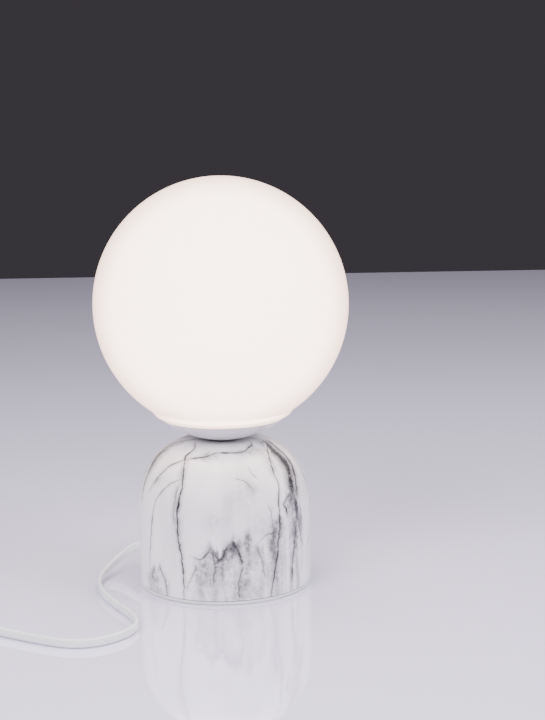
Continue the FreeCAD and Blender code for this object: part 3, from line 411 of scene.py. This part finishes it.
# veins on the side that the photo shows: turn in degrees and height in mm, half width in mm, strength
veins = {
    "mainDark": (((-145.0, 116.5), (-129.3, 114.6), (-130.1, 109.6), (-125.6, 104.6), (-121.1, 91.5),
                  (-121.8, 76.9), (-122.3, 61.4), (-121.1, 49.0), (-119.0, 30.3), (-118.3, 17.7),
                  (-118.0, 4.2)), 0.50, 1.15),
    "mainGhost": (((-124.0, 91.7), (-124.8, 80.8), (-125.2, 70.2), (-124.4, 61.1)), 0.9, 0.30),
    "topCross": (((-127.9, 108.0), (-116.6, 109.6), (-107.0, 110.8), (-98.5, 112.9), (-83.0, 112.8),
                  (-69.2, 112.8), (-58.3, 114.4), (-39.3, 116.3)), 0.5, 1.05),
    "topCrossSoft": (((-112.0, 110.4), (-105.0, 111.4), (-96.5, 113.2)), 1.5, 0.5),
    "topCrossLow": (((-115.9, 110.0), (-105.4, 107.6)), 0.35, 0.5),
    "leftArcHigh": (((-130.1, 107.4), (-140.1, 102.3), (-146.2, 94.2), (-148.8, 86.7)), 0.38, 0.95),
    "leftArcHighFork": (((-146.1, 95.0), (-150.4, 89.7), (-152.2, 80.2)), 0.34, 0.5),
    "leftArcLow": (((-124.7, 95.0), (-135.6, 87.3), (-141.6, 77.2), (-144.8, 63.2), (-148.1, 41.5),
                    (-150.3, 23.1)), 0.34, 0.75),
    "outerLeft": (((-168.0, 116.3), (-176.7, 112.8), (-174.8, 106.0), (-167.1, 95.2), (-164.4, 81.8),
                   (-162.7, 72.8)), 1.2, 0.55),
    "outerLeftThin": (((-160.0, 115.6), (-170.0, 111.0), (-168.0, 103.0), (-160.5, 92.3)), 0.4, 0.6),
    "rightDark": (((-14.0, 116.3), (-30.0, 111.9), (-29.6, 105.2), (-31.5, 97.0), (-35.2, 88.8),
                   (-36.7, 80.0)), 2.7, 0.95),
    "rightDarkOuter": (((-9.0, 115.6), (-19.5, 110.4), (-21.3, 102.5), (-27.2, 91.5), (-32.0, 78.8)),
                       1.3, 0.7),
    "rightFall": (((-36.7, 80.0), (-34.4, 70.1), (-32.3, 53.5), (-28.0, 36.1)), 0.32, 0.7),
    "rightFallInner": (((-36.9, 75.4), (-35.7, 60.9), (-37.3, 46.9), (-40.0, 30.0), (-41.8, 9.5)), 0.5, 0.72),
    "rightBranch": (((-39.9, 80.7), (-47.3, 74.8), (-45.6, 69.7), (-44.9, 64.9)), 0.5, 0.8),
    "rightThin": (((-15.7, 116.1), (-40.6, 109.8), (-48.8, 98.6), (-48.8, 88.6), (-51.9, 77.2),
                   (-51.9, 64.9), (-52.8, 50.8), (-54.7, 33.8), (-57.6, 16.9), (-59.8, 3.8)), 0.38, 0.95),
    "rightThinFork": (((-51.9, 77.2), (-52.0, 68.0), (-50.4, 64.6)), 0.3, 0.5),
    "faintOne": (((-81.6, 96.6), (-74.7, 94.5), (-70.2, 88.8)), 0.3, 0.5),
    "faintTwo": (((-69.6, 103.7), (-67.9, 98.3), (-65.2, 96.3)), 0.26, 0.4),
    "faintThree": (((-60.5, 75.8), (-58.2, 66.2), (-57.5, 59.7)), 0.26, 0.4),
    "faintFour": (((-68.6, 47.5), (-62.9, 52.8), (-56.0, 53.1)), 0.3, 0.4),
    "centreStreak": (((-84.4, 49.1), (-81.4, 40.3), (-78.5, 31.3)), 0.6, 0.75),
    "centreStreakLow": (((-78.5, 31.3), (-81.3, 19.0), (-81.8, 5.5)), 0.5, 0.55),
    "centreFork": (((-98.3, 45.5), (-96.1, 39.2), (-93.3, 36.1), (-88.3, 47.0)), 0.5, 0.6),
    "centreLeft": (((-111.9, 37.5), (-105.2, 36.5), (-99.2, 46.2)), 0.55, 0.4),
    "forkFall": (((-99.2, 44.7), (-96.8, 32.1), (-98.4, 16.3)), 0.5, 0.45),
    "lowLeft": (((-138.0, 26.5), (-137.1, 21.9), (-132.3, 13.4), (-131.8, 5.5)), 0.4, 0.75),
    "lowLeftSoft": (((-144.7, 22.3), (-146.9, 16.0), (-144.5, 14.3)), 0.7, 0.5),
    "thinLow": (((-109.4, 28.3), (-113.0, 20.0), (-116.0, 10.8)), 0.26, 0.55),
    "thinLowRight": (((-68.7, 42.7), (-64.9, 29.5), (-64.4, 19.9)), 0.28, 0.4),
}
# grey drifts with a ragged upper edge that fade on the way down: knots, fade in mm, strength
drifts = (
    (((-114.0, 29.0), (-106.5, 36.4), (-99.8, 47.0), (-96.0, 44.7), (-93.5, 37.6), (-88.3, 47.7),
      (-84.4, 55.4), (-78.6, 54.2), (-73.9, 56.0), (-68.6, 47.5), (-60.0, 33.0)), 30.0, 0.74),
    (((-63.4, 52.0), (-59.5, 60.1), (-55.9, 66.1), (-50.9, 64.7), (-45.4, 57.7)), 60.0, 0.62),
    (((-48.1, 74.2), (-43.9, 79.7), (-38.0, 78.0), (-33.4, 74.5), (-25.2, 56.7)), 44.0, 0.66),
    (((-155.8, 13.6), (-148.0, 22.0), (-142.4, 20.5), (-137.0, 27.7), (-127.8, 13.3)), 16.0, 0.66),
)
# soft clouds: turn, height, half width in degrees, half height in mm, strength
clouds = (
    (-81.0, 82.0, 13.0, 9.0, 0.10), (-122.0, 70.0, 4.0, 24.0, 0.16), (-30.0, 100.0, 8.0, 14.0, 0.34),
    (-36.0, 82.0, 5.0, 8.0, 0.34), (-104.0, 111.4, 9.0, 2.4, 0.30), (-60.0, 113.0, 16.0, 2.6, 0.26),
    (-168.0, 104.0, 8.0, 10.0, 0.34), (-84.0, 46.0, 7.0, 6.0, 0.30), (-102.0, 26.0, 5.0, 14.0, 0.16),
    (-78.0, 20.0, 3.0, 14.0, 0.30), (-58.0, 38.0, 3.0, 24.0, 0.30), (-36.0, 50.0, 4.0, 22.0, 0.26),
    (-48.0, 104.0, 5.0, 8.0, 0.18), (-125.0, 102.0, 3.0, 6.0, 0.22), (-144.0, 96.0, 5.0, 8.0, 0.16),
    (-96.0, 66.0, 9.0, 9.0, 0.13), (-66.0, 60.0, 8.0, 10.0, 0.12), (-70.0, 90.0, 9.0, 7.0, 0.15),
)
# the sides and back, which the photo doesn't show
backVeins = {"count": 17, "seed": 11, "from": -16.0, "to": 186.0, "starts": (115, 113, 104, 92, 70),
             "halves": (0.3, 0.34, 0.45, 1.1), "crossings": 4}
backDrifts = (
    (((4.0, 40.0), (12.0, 58.0), (18.0, 52.0), (27.0, 61.0), (38.0, 36.0)), 32.0, 0.5),
    (((58.0, 30.0), (66.0, 44.0), (75.0, 38.0), (84.0, 52.0), (95.0, 28.0)), 24.0, 0.55),
    (((118.0, 52.0), (127.0, 66.0), (134.0, 60.0), (144.0, 40.0)), 38.0, 0.48),
    (((160.0, 18.0), (168.0, 27.0), (177.0, 20.0)), 14.0, 0.5),
)


def shellReach(height):
    low = shell["top"] - shell["drop"]
    if height <= low:
        return shell["reach"]
    share = min((height - low) / shell["drop"], 1.0)
    return shell["reach"] - shell["shoulder"] * (1 - math.sqrt(max(0.0, 1 - share * share)))


def onShell(turn, height):
    height = min(height, shell["veinTop"])
    reach = shellReach(height)
    angle = math.radians(turn)
    return Vector((reach * math.cos(angle), reach * math.sin(angle), height))


# how a vein is drawn: point spacing and soft margin in metres, wander and shiver in degrees, and the strength
# of the painted shade line along the lower edge
veinLine = {"spacing": 0.0012, "margin": 0.0016, "wander": 0.8, "shiver": 0.35, "far": 8.0, "paintedGapShade": 1.3}


def smoothLine(knots):
    # even points on a smooth line through given knots on the surface
    line = []
    for index in range(len(knots) - 1):
        p = [knots[min(max(index + shift, 0), len(knots) - 1)] for shift in (-1, 0, 1, 2)]
        length = (onShell(p[1][0], p[1][1] / 1000) - onShell(p[2][0], p[2][1] / 1000)).length
        span = max(2, int(length / veinLine["spacing"]))
        for step in range(span):
            t = step / span
            values = []
            for axis in (0, 1):
                a, b, c, d = (q[axis] for q in p)
                values.append(0.5 * (2 * b + (c - a) * t + (2 * a - 5 * b + 4 * c - d) * t * t
                                     + (3 * b - a - 3 * c + d) * t ** 3))
            line.append((values[0], values[1]))
    line.append(knots[-1])
    return line


def backLines():
    # veins of the same kind that wander down from the crown, and a few that cross them near the top
    chance = random.Random(backVeins["seed"])
    found = []
    span = backVeins["to"] - backVeins["from"]
    for item in range(backVeins["count"]):
        turn = backVeins["from"] + span * (item + chance.random() * 0.8) / backVeins["count"]
        height = chance.choice(backVeins["starts"])
        lean = chance.uniform(-1.2, 1.2)
        knots = [(turn, height)]
        while height > 4 and len(knots) < 9:
            height -= chance.uniform(6, 19)
            turn += lean * chance.uniform(1, 7) + chance.uniform(-4, 4)
            if not backVeins["from"] - 4 < turn < backVeins["to"] + 2:
                break
            knots.append((turn, max(height, 3.5)))
        if len(knots) > 2:
            found.append((knots, chance.choice(backVeins["halves"]), chance.uniform(0.45, 0.9)))
    for item in range(backVeins["crossings"]):
        turn = chance.uniform(10, 130)
        height = chance.uniform(100, 113)
        knots = [(turn + 14 * step, min(height + chance.uniform(-3, 3), 115.5)) for step in range(4)]
        found.append((knots, 0.4, 0.75))
    return found


def veinMaps(mesh):
    # for every point of the skin: signed distance to the nearest vein over its half width,
    # and the vein's strength
    count = len(mesh.vertices)
    side, mask, nearest = np.full(count, veinLine["far"]), np.zeros(count), np.full(count, 1.0)
    tree = KDTree(count)
    for index, vert in enumerate(mesh.vertices):
        tree.insert(vert.co, index)
    tree.balance()
    for knots, half, strength in list(veins.values()) + backLines():
        line = smoothLine(knots)
        spots, total = [], len(line)
        for turn, height in line:
            wave = veinLine["wander"] * noise.noise(Vector((turn * 0.21, height * 0.17, half * 3)))
            wave += veinLine["shiver"] * noise.noise(Vector((turn * 0.8, height * 0.6, 4 + half)))
            spots.append(onShell(turn + wave, height / 1000))
        for number, spot in enumerate(spots):
            turn, height = line[number]
            way = spots[min(number + 1, total - 1)] - spots[max(number - 1, 0)]
            if way.length < 1e-6:
                continue
            ends = min(1.0, 0.25 + 5.0 * min(number, total - 1 - number) / max(total, 1))
            swell = 0.7 + 1.1 * abs(noise.noise(Vector((height * 0.11, turn * 0.09, 7 + half))))
            wide = half * swell / 1000
            dark = strength * ends * (0.85 + 0.5 * noise.noise(Vector((turn * 0.15, height * 0.13, 1.7))))
            outward = Vector((spot.x, spot.y, 0)).normalized()
            outward = (outward + Vector((0, 0, max(0.0, (height - 64) / 52) ** 2 * 1.6))).normalized()
            reach = wide * 3 + veinLine["margin"]
            cross = way.normalized().cross(outward)
            for co, index, distance in tree.find_range(spot, reach):
                # a strong line wins over a weak one where they meet
                rank = distance / (0.3 + dark)
                if rank < nearest[index]:
                    nearest[index] = rank
                    side[index] = (co - spot).dot(cross) / wide
                    mask[index] = dark * max(0.0, 1 - (distance / reach) ** 2) ** 0.5
    for index, vert in enumerate(mesh.vertices):
        # painted shade: the lowest rows are darkened to a thin dark line that stands in for the shadowed gap
        # above the base plate
        if vert.co.z < shell["low"] + 0.0005:
            side[index], mask[index] = 0.0, veinLine["paintedGapShade"]
    return side, mask


# how the drifts fade, in mm and degrees
driftLook = {"ragged": 6.0, "wisp": 3.8, "sink": 1.0, "softTop": 7, "topFade": 11, "sideFade": 5, "highest": 84}


def driftHeight(knots, turn):
    for (t0, h0), (t1, h1) in zip(knots, knots[1:]):
        if t0 <= turn <= t1:
            share = (turn - t0) / (t1 - t0)
            return h0 + (h1 - h0) * (share * share * (3 - 2 * share))
    return None


def softMap(mesh):
    soft = np.zeros(len(mesh.vertices))
    for index, vert in enumerate(mesh.vertices):
        co = vert.co
        turn = math.degrees(math.atan2(co.y, co.x))
        height = co.z * 1000
        value = 0.0
        wisp = noise.noise(Vector((turn * 0.30, height * 0.045, 5.0)))
        ragged = driftLook["ragged"] * noise.noise(Vector((turn * 0.42, height * 0.05, 2.0)))
        ragged += driftLook["wisp"] * wisp - driftLook["sink"]
        for knots, fade, strength in drifts + backDrifts:
            if knots[0][0] <= turn <= knots[-1][0] and height < driftLook["highest"]:
                depth = driftHeight(knots, turn) + ragged - height
                if depth > -driftLook["softTop"]:
                    edge = min(1.0, (depth + driftLook["softTop"]) / driftLook["topFade"])
                    inside = min(turn - knots[0][0], knots[-1][0] - turn)
                    sides = min(1.0, inside / driftLook["sideFade"])
                    fall = 0.30 + 0.70 * math.exp(-max(depth, 0) / (fade * 0.4))
                    value += strength * edge * edge * sides * fall * (0.75 + 0.9 * wisp)
        for at, level, wide, tall, strength in clouds:
            away = ((turn - at + 180) % 360 - 180) / wide
            drop = (height - level) / tall
            if abs(away) < 2.6 and abs(drop) < 2.6:
                value += strength * math.exp(-away * away - drop * drop)
        soft[index] = value
    return soft


def shellOutline():
    low, top = shell["low"], shell["top"]
    points = [(shell["reach"] - 0.0004, low), (shell["reach"], low + 0.0004)]
    height = low + shell["row"]
    while height < top - shell["drop"]:
        points.append((shell["reach"], height))
        height += shell["row"]
    crown = shell["reach"] - shell["shoulder"]
    count = shell["domeSteps"]
    for step in range(count + 1):
        angle = math.radians(90 * step / count)
        points.append((crown + shell["shoulder"] * math.cos(angle),
                       top - shell["drop"] + shell["drop"] * math.sin(angle)))
    reach = crown - shell["crownRow"]
    while reach > shell["hole"] + shell["crownRow"]:
        points.append((reach, top))
        reach -= shell["crownRow"]
    points += [(shell["hole"], top), (shell["hole"], top - shell["wall"])]
    for step in range(shell["inSteps"] + 1):
        angle = math.radians(90 - 90 * step / shell["inSteps"])
        points.append((crown + (shell["shoulder"] - shell["wall"]) * math.cos(angle),
                       top - shell["drop"] + (shell["drop"] - shell["wall"]) * math.sin(angle)))
    points.append((shell["reach"] - shell["wall"], low))
    return points


# colours of the print, and how fine its noises are
marble = {"white": (0.93, 0.885, 0.925), "pale": (0.56, 0.535, 0.565), "grey": (0.20, 0.19, 0.205),
          "dark": (0.028, 0.027, 0.031), "fray": 620.0, "ragged": 260.0, "cloud": 22.0, "streak": 70.0,
          "drawnOut": 0.38, "coat": 0.3}


def marblePrint():
    mat, tree, shader = newMaterial("marblePrint")
    link = tree.links.new
    side = addNode(tree, "ShaderNodeAttribute", attribute_name="veinSide")
    mask = addNode(tree, "ShaderNodeAttribute", attribute_name="veinMask")
    smear = addNode(tree, "ShaderNodeAttribute", attribute_name="smear")
    point = objectPoint(tree)
    tall = objectPoint(tree, (1.0, 1.0, marble["drawnOut"]))

    def noiseOf(source, **values):
        item = addNode(tree, "ShaderNodeTexNoise", **values)
        link(source, item.inputs["Vector"])
        return item.outputs["Fac"]

    def maths(kind, *terms, clamp=False):
        item = addNode(tree, "ShaderNodeMath", operation=kind)
        item.use_clamp = clamp
        for socket, value in zip(item.inputs, terms):
            if isinstance(value, (int, float)):
                socket.default_value = value
            else:
                link(value, socket)
        return item.outputs[0]

    fray = noiseOf(point, Scale=marble["fray"], Detail=4.0, Roughness=0.7)
    coarse = noiseOf(point, Scale=marble["ragged"], Detail=6.0, Roughness=0.72)
    cloud = noiseOf(tall, Scale=marble["cloud"], Detail=7.0, Roughness=0.62, Distortion=0.8)
    streak = noiseOf(tall, Scale=marble["streak"], Detail=7.0, Roughness=0.62, Distortion=0.9)
    # the line wanders and frays a little, so its edge is never clean
    bent = maths("ADD", side.outputs["Fac"], maths("MULTIPLY_ADD", coarse, 3.0, -1.5))
    bent = maths("ADD", bent, maths("MULTIPLY_ADD", fray, 2.2, -1.1))
    squared = maths("MULTIPLY", bent, bent)
    core = maths("DIVIDE", 1.0, maths("ADD", maths("MULTIPLY", squared, squared), 1.0))
    halo = maths("DIVIDE", 0.30, maths("MULTIPLY_ADD", squared, 0.075, 1.0))
    line = maths("MULTIPLY", maths("ADD", core, halo), mask.outputs["Fac"])
    speckle = maths("MULTIPLY_ADD", fray, 4.4, -1.25, clamp=True)
    veinDark = maths("MULTIPLY", line, speckle)
    ragged = maths("MULTIPLY_ADD", coarse, 3.6, -1.25)
    drawn = maths("MULTIPLY_ADD", streak, 4.6, -1.75)
    broken = maths("ADD", maths("MULTIPLY", ragged, 0.80), maths("MULTIPLY", drawn, 0.70))
    softDark = maths("MULTIPLY", smear.outputs["Fac"], broken, clamp=True)
    greys = colourRamp(tree, cloud, [(0.46, (0.0,) * 3), (0.70, (0.085,) * 3), (0.85, (0.16,) * 3)])
    total = maths("ADD", maths("ADD", veinDark, softDark), greys, clamp=True)
    colour = colourRamp(tree, total, [(0.0, marble["white"]), (0.2, marble["pale"]), (0.5, marble["grey"]),
                                      (1.0, marble["dark"])])
    link(colour, shader.inputs["Base Color"])
    gloss = colourRamp(tree, cloud, [(0.3, (0.27,) * 3), (0.7, (0.22,) * 3)])
    link(gloss, shader.inputs["Roughness"])
    shader.inputs["Coat Weight"].default_value = marble["coat"]
    shader.inputs["Coat Roughness"].default_value = 0.1
    addBump(tree, shader, fray, 0.02)
    return mat


def makeShell():
    mesh = revolve("marble_drum", shellOutline(), shell["around"])
    side, mask = veinMaps(mesh)
    for name, values in (("veinSide", side), ("veinMask", mask), ("smear", softMap(mesh))):
        layer = mesh.attributes.new(name, "FLOAT", "POINT")
        layer.data.foreach_set("value", [float(v) for v in values])
    return addPiece("marble_drum", mesh, "base", marblePrint(), ("marble_shell",))


marbleDrum = makeShell()
print("marble drum ready", len(marbleDrum.data.vertices))


# finishes of the pieces that keep their drawn shape, and the nodes that wear them
finishes = {
    "plateWhite": dict(tone=(0.80, 0.80, 0.81), shade=(0.74, 0.74, 0.755), grain=30, roughness=0.4,
                       bump=0.1),
    "foamPad": dict(tone=(0.72, 0.72, 0.715), shade=(0.60, 0.60, 0.60), grain=220, roughness=0.86,
                    bump=0.5),
    "castIron": dict(tone=(0.075, 0.075, 0.08), shade=(0.04, 0.04, 0.042), grain=160, roughness=0.62,
                     metallic=0.6, bump=0.6),
    "zincSteel": dict(tone=(0.62, 0.62, 0.64), shade=(0.46, 0.47, 0.50), grain=90, roughness=0.34,
                      metallic=1.0, bump=0.15),
    "springSteel": dict(tone=(0.50, 0.49, 0.48), shade=(0.36, 0.36, 0.37), grain=80, roughness=0.28,
                        metallic=1.0, bump=0.1, stretch=(1, 1, 6)),
    "brassMetal": dict(tone=(0.72, 0.55, 0.27), shade=(0.55, 0.40, 0.18), grain=120, roughness=0.33,
                       metallic=1.0, bump=0.12),
    "clearRubber": dict(tone=(0.62, 0.63, 0.64), shade=(0.52, 0.53, 0.55), grain=60, roughness=0.45,
                        bump=0.12),
    "mouldedWhite": dict(tone=(0.80, 0.80, 0.80), shade=(0.73, 0.73, 0.74), grain=120, roughness=0.36,
                         bump=0.3),
    "holderWhite": dict(tone=(0.78, 0.77, 0.75), shade=(0.70, 0.69, 0.67), grain=70, roughness=0.42,
                        bump=0.2),
    "insertBeige": dict(tone=(0.62, 0.55, 0.43), shade=(0.52, 0.45, 0.34), grain=110, roughness=0.58,
                        bump=0.35),
    "coreBrown": dict(tone=(0.16, 0.07, 0.035), shade=(0.10, 0.045, 0.022), grain=90, roughness=0.4,
                      bump=0.1),
    "coreBlue": dict(tone=(0.03, 0.10, 0.36), shade=(0.02, 0.065, 0.25), grain=90, roughness=0.4, bump=0.1),
    "bulbWhite": dict(tone=(0.82, 0.82, 0.81), shade=(0.76, 0.76, 0.76), grain=50, roughness=0.32,
                      bump=0.1),
    "capMetal": dict(tone=(0.70, 0.70, 0.68), shade=(0.55, 0.55, 0.54), grain=70, roughness=0.3,
                     metallic=1.0, bump=0.1),
    "blackGlass": dict(tone=(0.02, 0.02, 0.022), shade=(0.012, 0.012, 0.013), grain=60, roughness=0.22,
                       bump=0.1),
    "ledBoard": dict(tone=(0.76, 0.76, 0.70), shade=(0.66, 0.67, 0.62), grain=260, roughness=0.5, bump=0.3),
    "tieBlack": dict(tone=(0.03, 0.03, 0.032), shade=(0.018, 0.018, 0.02), grain=300, roughness=0.55,
                     bump=0.5),
}
wornBy = {
    "plateWhite": ("base_plate",),
    "foamPad": ("foot_pad",),
    "castIron": ("ballast_weight",),
    "zincSteel": ("plate_screws", "ballast_screws", "shell_posts", "clamp_screws", "threaded_tube",
                  "crown_nut", "crown_washer", "cup_washer", "cup_nut", "switch_screws"),
    "springSteel": ("clip_spider",),
    "brassMetal": ("screw_sleeve", "centre_contact", "terminal_screws", "switch_contacts", "switch_terminals",
                   "plug_pins"),
    "clearRubber": ("glass_gasket",),
    "mouldedWhite": ("cord_bushing", "cord_clamp_base", "cord_clamp_bar", "switch_lower", "switch_upper",
                     "switch_rocker", "plug_body"),
    "holderWhite": ("lampholder_cap", "lampholder_shell"),
    "insertBeige": ("lampholder_insert",),
    "coreBrown": ("live_wire",),
    "coreBlue": ("neutral_wire",),
    "bulbWhite": ("bulb_housing",),
    "capMetal": ("bulb_cap", "bulb_contact"),
    "blackGlass": ("bulb_insulator", "pin_sleeves"),
    "ledBoard": ("bulb_led_board",),
    "tieBlack": ("coil_tie",),
}


def litDome():
    mat, tree, shader = newMaterial("litDome")
    cloud = addNode(tree, "ShaderNodeTexNoise", Scale=40.0, Detail=2.0)
    tree.links.new(objectPoint(tree), cloud.inputs["Vector"])
    glow = colourRamp(tree, cloud.outputs["Fac"], [(0.3, (1.0, 0.90, 0.80)), (0.7, (1.0, 0.95, 0.88))])
    tree.links.new(glow, shader.inputs["Emission Color"])
    shader.inputs["Emission Strength"].default_value = 2.0
    base = colourRamp(tree, cloud.outputs["Fac"], [(0.3, (0.80, 0.79, 0.77)), (0.7, (0.86, 0.85, 0.83))])
    tree.links.new(base, shader.inputs["Base Color"])
    shader.inputs["Roughness"].default_value = 0.5
    return mat


def wear(node, mat):
    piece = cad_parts[node]
    if not piece.material_slots:
        piece.data.materials.append(mat)
    for item in piece.material_slots:
        item.material = mat


for finishName, values in finishes.items():
    mat = finish(finishName, **values)
    for node in wornBy[finishName]:
        wear(node, mat)
wear("bulb_dome", litDome())
wear("inner_cord", cordSheath)
print("finishes ready")


# plain floor and soft studio light
room = {"floorTone": (0.84, 0.79, 0.985), "floorShade": (0.82, 0.775, 0.965), "floorRoughness": 0.04,
        "floorHalf": 2.2, "floorDrop": 0.0002, "coatRoughness": 0.03, "coatIor": 1.6,
        "horizon": (0.046, 0.040, 0.049), "ceiling": (0.95, 0.94, 0.97)}


def makeFloor():
    mesh = bpy.data.meshes.new("floorTop")
    half = room["floorHalf"]
    corners = [(-half, -half, 0), (half, -half, 0), (half, half, 0), (-half, half, 0)]
    mesh.from_pydata(corners, [], [(0, 1, 2, 3)])
    floor = bpy.data.objects.new("floorTop", mesh)
    bpy.context.collection.objects.link(floor)
    floor.location = (0, 0, -room["floorDrop"])
    mat, tree, shader = newMaterial("palePlainFloor")
    cloud = addNode(tree, "ShaderNodeTexNoise", Scale=3.0, Detail=2.0)
    tree.links.new(objectPoint(tree), cloud.inputs["Vector"])
    tone = colourRamp(tree, cloud.outputs["Fac"], [(0.3, room["floorShade"]), (0.7, room["floorTone"])])
    tree.links.new(tone, shader.inputs["Base Color"])
    shader.inputs["Roughness"].default_value = room["floorRoughness"]
    shader.inputs["Coat Weight"].default_value = 1.0
    shader.inputs["Coat Roughness"].default_value = room["coatRoughness"]
    shader.inputs["Coat IOR"].default_value = room["coatIor"]
    mesh.materials.append(mat)


def areaLight(name, spot, aim, size, power, colour):
    data = bpy.data.lights.new(name, "AREA")
    data.shape = "RECTANGLE"
    data.size, data.size_y = size
    data.energy = power
    data.color = colour
    light = bpy.data.objects.new(name, data)
    bpy.context.collection.objects.link(light)
    light.location = spot
    light.rotation_euler = (Vector(aim) - Vector(spot)).to_track_quat("-Z", "Y").to_euler()
    light.visible_glossy = False  # the glossy floor mirrors the piece and not the panels


makeFloor()
areaLight("softFront", (-1.1, -1.7, 1.5), (0, 0, 0.08), (1.5, 1.2), 76, (1.0, 0.985, 1.0))
areaLight("softRight", (1.9, -0.9, 1.2), (0, 0, 0.08), (1.0, 1.4), 58, (0.98, 0.98, 1.0))
areaLight("softTop", (0.1, 0.5, 2.4), (0, 0, 0.0), (2.0, 1.6), 50, (0.98, 0.98, 1.0))


def softWorld():
    # darker at the horizon, brighter overhead, as in a studio with a soft ceiling
    world = bpy.data.worlds.new("softRoom")
    world.use_nodes = True
    tree = world.node_tree
    background = tree.nodes["Background"]
    place = tree.nodes.new("ShaderNodeTexCoord")
    split = tree.nodes.new("ShaderNodeSeparateXYZ")
    tree.links.new(place.outputs["Generated"], split.inputs["Vector"])
    tone = colourRamp(tree, split.outputs["Z"], [(0.0, room["horizon"]), (0.16, room["horizon"]),
                                                 (0.55, room["ceiling"])])
    tree.links.new(tone, background.inputs["Color"])
    background.inputs["Strength"].default_value = 1.0
    bpy.context.scene.world = world


softWorld()
print("floor and light ready")
